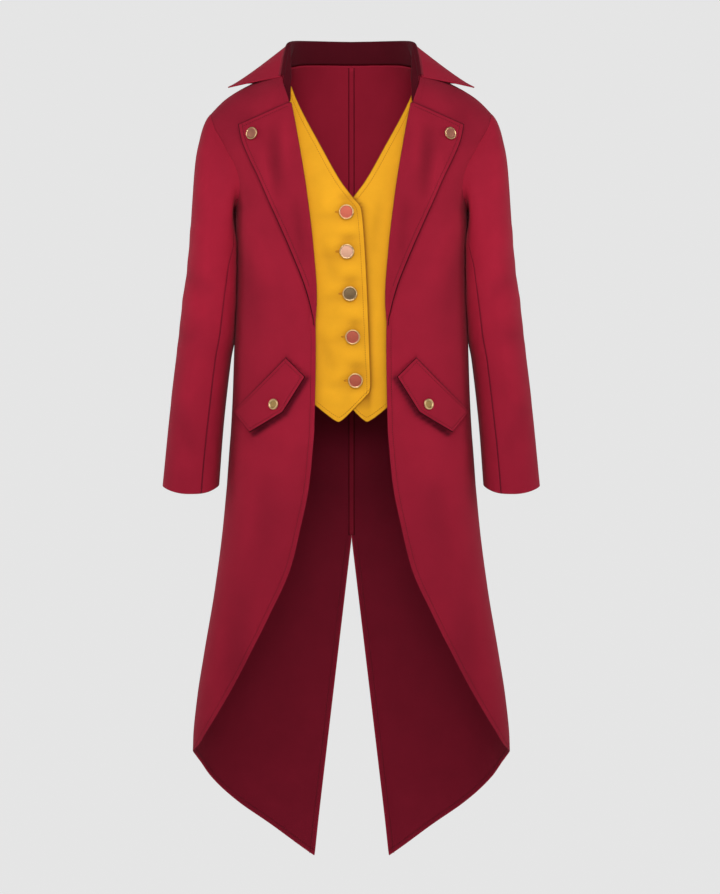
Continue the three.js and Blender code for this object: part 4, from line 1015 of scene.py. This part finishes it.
frontN = outwardOf(frontOut, frontWay)
edgeLine, edgeNormals = insetLine(frontOut, frontN, "first", 7.5)
below = edgeLine[:, 2] < -392
addStitches("front_stitching", [(edgeLine[below], edgeNormals[below])], "crimsonThread")
backN = outwardOf(backOut, backWay)
ventLine, ventNormals = insetLine(backOut, backN, "first", 9.0)
low = ventLine[:, 2] < body["ventTop"]
tailLine, tailNormals = insetLine(backOut, backN, "bottom", 9.0)
insideBy = body["wall"] + 0.1
addStitches("tail_stitching", [(ventLine[low], ventNormals[low]), (tailLine, tailNormals),
                               (ventLine[low] - ventNormals[low] * insideBy, -ventNormals[low]),
                               (tailLine - tailNormals * insideBy, -tailNormals)], "crimsonThread")
lapelN = outwardOf(lapelOut, np.array([0, -1.0, 0]))
leafOnly = lapelOut[:, 11:]
leafN = lapelN[:, 11:]
sideLine, sideN = insetLine(leafOnly, leafN, "last", 7.0)
topLine, topN = insetLine(leafOnly, leafN, "top", 7.0)
addStitches("lapel_stitching", [(sideLine[3:-2], sideN[3:-2]), (topLine[2:-6], topN[2:-6])], "crimsonThread")
flapN = outwardOf(flapOut, np.array([0, -1.0, 0]))
flapLines = [insetLine(flapOut, flapN, b, 6.0) for b in ("first", "bottom", "last", "top")]
addStitches("flap_stitching", [(line[4:-4], n[4:-4]) for line, n in flapLines]
            + [insetLine(flapOut, flapN, "top", 1.6)], "crimsonThread")
collarN = outwardOf(collarOut[:, 30:], unit(collarOut[:, 30:] * [1, 1, 0] - [0, 20, 0]) + [0, 0, 0.6])
leafLine = insetLine(collarOut[:, 30:], collarN, "last", 6.0)
addStitches("collar_stitching", [(leafLine[0][6:-6], leafLine[1][6:-6])], "crimsonThread",
            both=False)
for name, (out, normals) in vestOuts.items():
    lines = [insetLine(out, normals, "first", 7.5), insetLine(out, normals, "bottom", 7.5)]
    addStitches(name + "_stitching", lines, "yellowThread", both=False)
print("stitching made")


buttonhole = dict(long=9.5, wide=1.1, thick=0.6, offset=7.5, depth=6.0)


# A flat ring of thread round a slot, laid on the waistcoat: an oblong path with a low oval section
def buttonholeMesh(name, spot):
    thick = buttonhole["thick"]
    turn = np.linspace(0, 2 * np.pi, 65)[:-1]
    x = spot["x"] - buttonhole["offset"] + power(np.cos(turn), 0.35) * buttonhole["long"]
    z = spot["z"] + power(np.sin(turn), 0.9) * buttonhole["wide"]
    place = placeOf(np.abs(x), z)
    up = bodyNormal(*place) * sideOf(x)
    line = bodyPoint(*place) * sideOf(x) - up * buttonhole["depth"]
    way = unit(np.roll(line, -1, 0) - np.roll(line, 1, 0))
    sideways = unit(np.cross(up, way))
    ring = np.arange(8) * np.pi / 4
    grid = (line[:, None] + np.cos(ring)[None, :, None] * thick * sideways[:, None]
            + np.sin(ring)[None, :, None] * thick * 0.8 * up[:, None])
    i, j = np.meshgrid(np.arange(64), np.arange(8), indexing="ij")
    this, following, beside = i * 8, (i + 1) % 64 * 8, (j + 1) % 8
    faces = np.stack([this + j, following + j, following + beside, this + beside], -1)
    mesh = bpy.data.meshes.new(name)
    mesh.from_pydata((grid.reshape(-1, 3) * mm).tolist(), [], faces.reshape(-1, 4).tolist())
    mesh.polygons.foreach_set("use_smooth", np.ones(512, bool))
    return mesh


for number, spot in enumerate(vestButtons, 1):
    name = "buttonhole_" + str(number)
    addPiece(name, buttonholeMesh(name, spot), "holeThread")


# Profiles are (radius, height) pairs from the middle of the back round to the middle of the face.
# From the pair numbered faceFrom on, the faces take the second metal.
faceFrom = 12
# Each vest button's face is tinted one by one to match how it looks: the pink and pale faces are copies of one
# copper-like metal with a painted reflection in their colour
vestFaces = ["pinkFace", "paleFace", "bronzeFace", "pinkFace", "pinkFace"]
vestButton = dict(profile=[(0, 0), (7, 0), (9.6, 0.2), (10.8, 0.8), (11.2, 1.7), (11.15, 2.6), (10.8, 3.3),
                           (10.2, 3.6), (9.9, 3.5), (9.7, 3.3), (9.5, 3.15), (9.3, 3.1), (7.6, 3.16),
                           (5.5, 3.22), (3.0, 3.26), (0, 3.28)])
lapelButton = dict(metals=("goldRim", "copperFace"),
                   profile=[(0, 0), (6, 0), (8.2, 0.2), (9.2, 0.8), (9.6, 1.7), (9.5, 2.6), (9.1, 3.3),
                            (8.5, 3.6), (8.2, 3.5), (8.05, 3.35), (7.9, 3.25), (7.7, 3.2), (5.8, 3.3),
                            (3.8, 3.38), (2.0, 3.43), (0, 3.45)])
flapButton = dict(metals=("goldRim", "brassFace"),
                  profile=[(0, 0), (5, 0), (7.2, 0.2), (8.1, 0.7), (8.4, 1.4), (8.3, 2.2), (7.9, 2.8),
                           (7.3, 3.0), (6.4, 2.9), (5.8, 2.5), (5.5, 2.0), (5.3, 1.85), (4.0, 1.8),
                           (2.6, 1.8), (1.4, 1.8), (0, 1.8)])


# The profile turned round the way out of the cloth
def buttonMesh(name, style, centre, outward, sides=48):
    profile = np.array(style["profile"], float)
    helper = unit(np.cross(outward, [0, 0, 1.0]))
    other = np.cross(helper, outward)
    turn = np.arange(sides) * 2 * np.pi / sides
    ring = np.cos(turn)[:, None] * helper + np.sin(turn)[:, None] * other
    middle = profile[1:-1]
    grid = centre + middle[:, 0][:, None, None] * ring[None] + (middle[:, 1][:, None] * outward)[:, None]
    ends = [centre + outward * profile[0, 1], centre + outward * profile[-1, 1]]
    points = np.concatenate([grid.reshape(-1, 3), ends])
    rows = len(middle)
    i, j = np.meshgrid(np.arange(rows - 1), np.arange(sides), indexing="ij")
    this, above, beside = i * sides, (i + 1) * sides, (j + 1) % sides
    quads = np.stack([this + j, this + beside, above + beside, above + j], -1)
    j = np.arange(sides)
    bottom = np.stack([(j + 1) % sides, j, np.full(sides, rows * sides)], -1)
    last = (rows - 1) * sides
    cap = np.stack([last + j, last + (j + 1) % sides, np.full(sides, rows * sides + 1)], -1)
    faces = quads.reshape(-1, 4).tolist() + bottom.tolist() + cap.tolist()
    mesh = bpy.data.meshes.new(name)
    mesh.from_pydata((points * mm).tolist(), [], faces)
    band = np.concatenate([np.repeat(np.arange(rows - 1), sides), np.zeros(sides, int), np.full(sides, rows)])
    mesh.materials.append(shade[style["metals"][0]])
    mesh.materials.append(shade[style["metals"][1]])
    mesh.polygons.foreach_set("material_index", (band >= faceFrom - 2).astype(np.int32))
    mesh.polygons.foreach_set("use_smooth", np.ones(len(faces), bool))
    mesh.update()
    return mesh


# A button stands for its node, and its back lies at the centre given
def addButton(nodeName, style, centre, outward):
    outward = unit(np.asarray(outward, float))
    piece = bpy.data.objects.new(nodeName + "_metal", buttonMesh(nodeName + "_metal", style, centre, outward))
    bpy.context.scene.collection.objects.link(piece)
    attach(piece, "root")
    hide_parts(nodeName)


# A height out from the body's surface at a seen place, and the way out there
def overBody(x, z, height):
    spot = placeOf(abs(x), z)
    flip = sideOf(np.asarray(float(x)))
    outward = bodyNormal(*spot) * flip
    return bodyPoint(*spot) * flip + outward * height, outward


for number, spot in enumerate(vestButtons, 1):
    style = dict(vestButton, metals=("goldRim", vestFaces[number - 1]))
    addButton("vest_button_" + str(number), style, *overBody(spot["x"], spot["z"], -5.3))
flapSpots = flapPoint(np.array([0.68, 0.73, 0.68]), np.array([0.45, 0.45, 0.5]))
flapWay = unit(np.cross(flapSpots[1] - flapSpots[0], flapSpots[2] - flapSpots[0]))
flapWay *= -np.sign(flapWay[1])
for side, sign in (("left", 1), ("right", -1)):
    addButton("lapel_button_" + side, lapelButton, *overBody(sign * 146, -101, 7.0))
    onFlap = flapSpots[0] + flapWay * (flap["wall"] + 0.5)
    addButton("flap_button_" + side, flapButton, onFlap * [sign, 1, 1], flapWay * [sign, 1, 1])
print("buttons made")


studio = dict(floorZ=-5.4, wallY=4.8, bend=2.8, halfWidth=11, wallTop=7.9, colour=(0.02, 0.02, 0.02),
              glow=0.776, cameraX=0.0135, cameraY=-4.0, cameraZ=-0.35, pitch=3.26, lens=104.08)

# The paper sweep: a floor, a quarter circle up from it, and a wall far behind the coat
turn = np.linspace(0, np.pi / 2, 12)
riseY = studio["wallY"] - studio["bend"] * (1 - np.sin(turn))
riseZ = studio["floorZ"] + studio["bend"] * (1 - np.cos(turn))
profileY = np.concatenate([[-studio["halfWidth"]], riseY, [studio["wallY"]]])
profileZ = np.concatenate([[studio["floorZ"]], riseZ, [studio["wallTop"]]])
sweepX, sweepY = np.meshgrid([-studio["halfWidth"], studio["halfWidth"]], profileY, indexing="ij")
sweep = np.stack([sweepX, sweepY, np.broadcast_to(profileZ, sweepY.shape)], -1).reshape(-1, 3)
count = len(profileY)
k = np.arange(count - 1)
backdrop = bpy.data.meshes.new("backdrop")
backdrop.from_pydata(sweep.tolist(), [], np.stack([k, k + count, k + count + 1, k + 1], -1).tolist())
tree, shader = newMaterial("paper", studio["colour"], 0.9, specular=0.0)
shader.inputs["Emission Color"].default_value = (1, 1, 1, 1)
shader.inputs["Emission Strength"].default_value = studio["glow"]
backdrop.materials.append(shade["paper"])
paper = bpy.data.objects.new("studio_floor", backdrop)
bpy.context.scene.collection.objects.link(paper)


lamps = [
    dict(name="topSoftbox", place=(0, -2.2, 1.2), target=(0, 0, -0.25), size=(2.0, 1.0), watts=12.5, spread=120),
    dict(name="frontSoftbox", place=(0, -3.4, 0.3), target=(0, 0, -0.25), size=(1.6, 1.0), watts=3.0, spread=60),
    dict(name="chestSpot", place=(0, -3.4, 0.3), target=(0, 0, -0.15), size=(1.0, 0.8), watts=0.7, spread=30),
    dict(name="leftSoftbox", place=(-2.6, -0.6, 0.0), target=(0, 0, -0.25), size=(1.0, 1.5), watts=7, spread=120),
    dict(name="rightSoftbox", place=(2.6, -0.6, 0.0), target=(0, 0, -0.25), size=(1.0, 1.5), watts=7, spread=120),
]
for lamp in lamps:
    light = bpy.data.lights.new(lamp["name"], "AREA")
    light.shape, light.size, light.size_y = "RECTANGLE", *lamp["size"]
    light.energy, light.spread = lamp["watts"], math.radians(lamp["spread"])
    holder = bpy.data.objects.new(lamp["name"], light)
    holder.location = lamp["place"]
    holder.rotation_mode = "QUATERNION"
    holder.rotation_quaternion = (Vector(lamp["target"]) - Vector(lamp["place"])).to_track_quat("-Z", "Y")
    bpy.context.scene.collection.objects.link(holder)
world = bpy.data.worlds.new("studioAir")
bpy.context.scene.world = world
world.use_nodes = True
world.node_tree.nodes["Background"].inputs["Color"].default_value = (0.9, 0.92, 0.95, 1)
world.node_tree.nodes["Background"].inputs["Strength"].default_value = 0.15

camera = bpy.data.cameras.new("camera")
camera.lens, camera.sensor_width, camera.sensor_fit = studio["lens"], 36, "AUTO"
camera.clip_end = 100
eye = bpy.data.objects.new("camera", camera)
eye.location = (studio["cameraX"], studio["cameraY"], studio["cameraZ"])
eye.rotation_euler = (math.radians(90 - studio["pitch"]), 0, 0)
bpy.context.scene.collection.objects.link(eye)
bpy.context.scene.camera = eye
bpy.context.scene.view_settings.view_transform = "Standard"
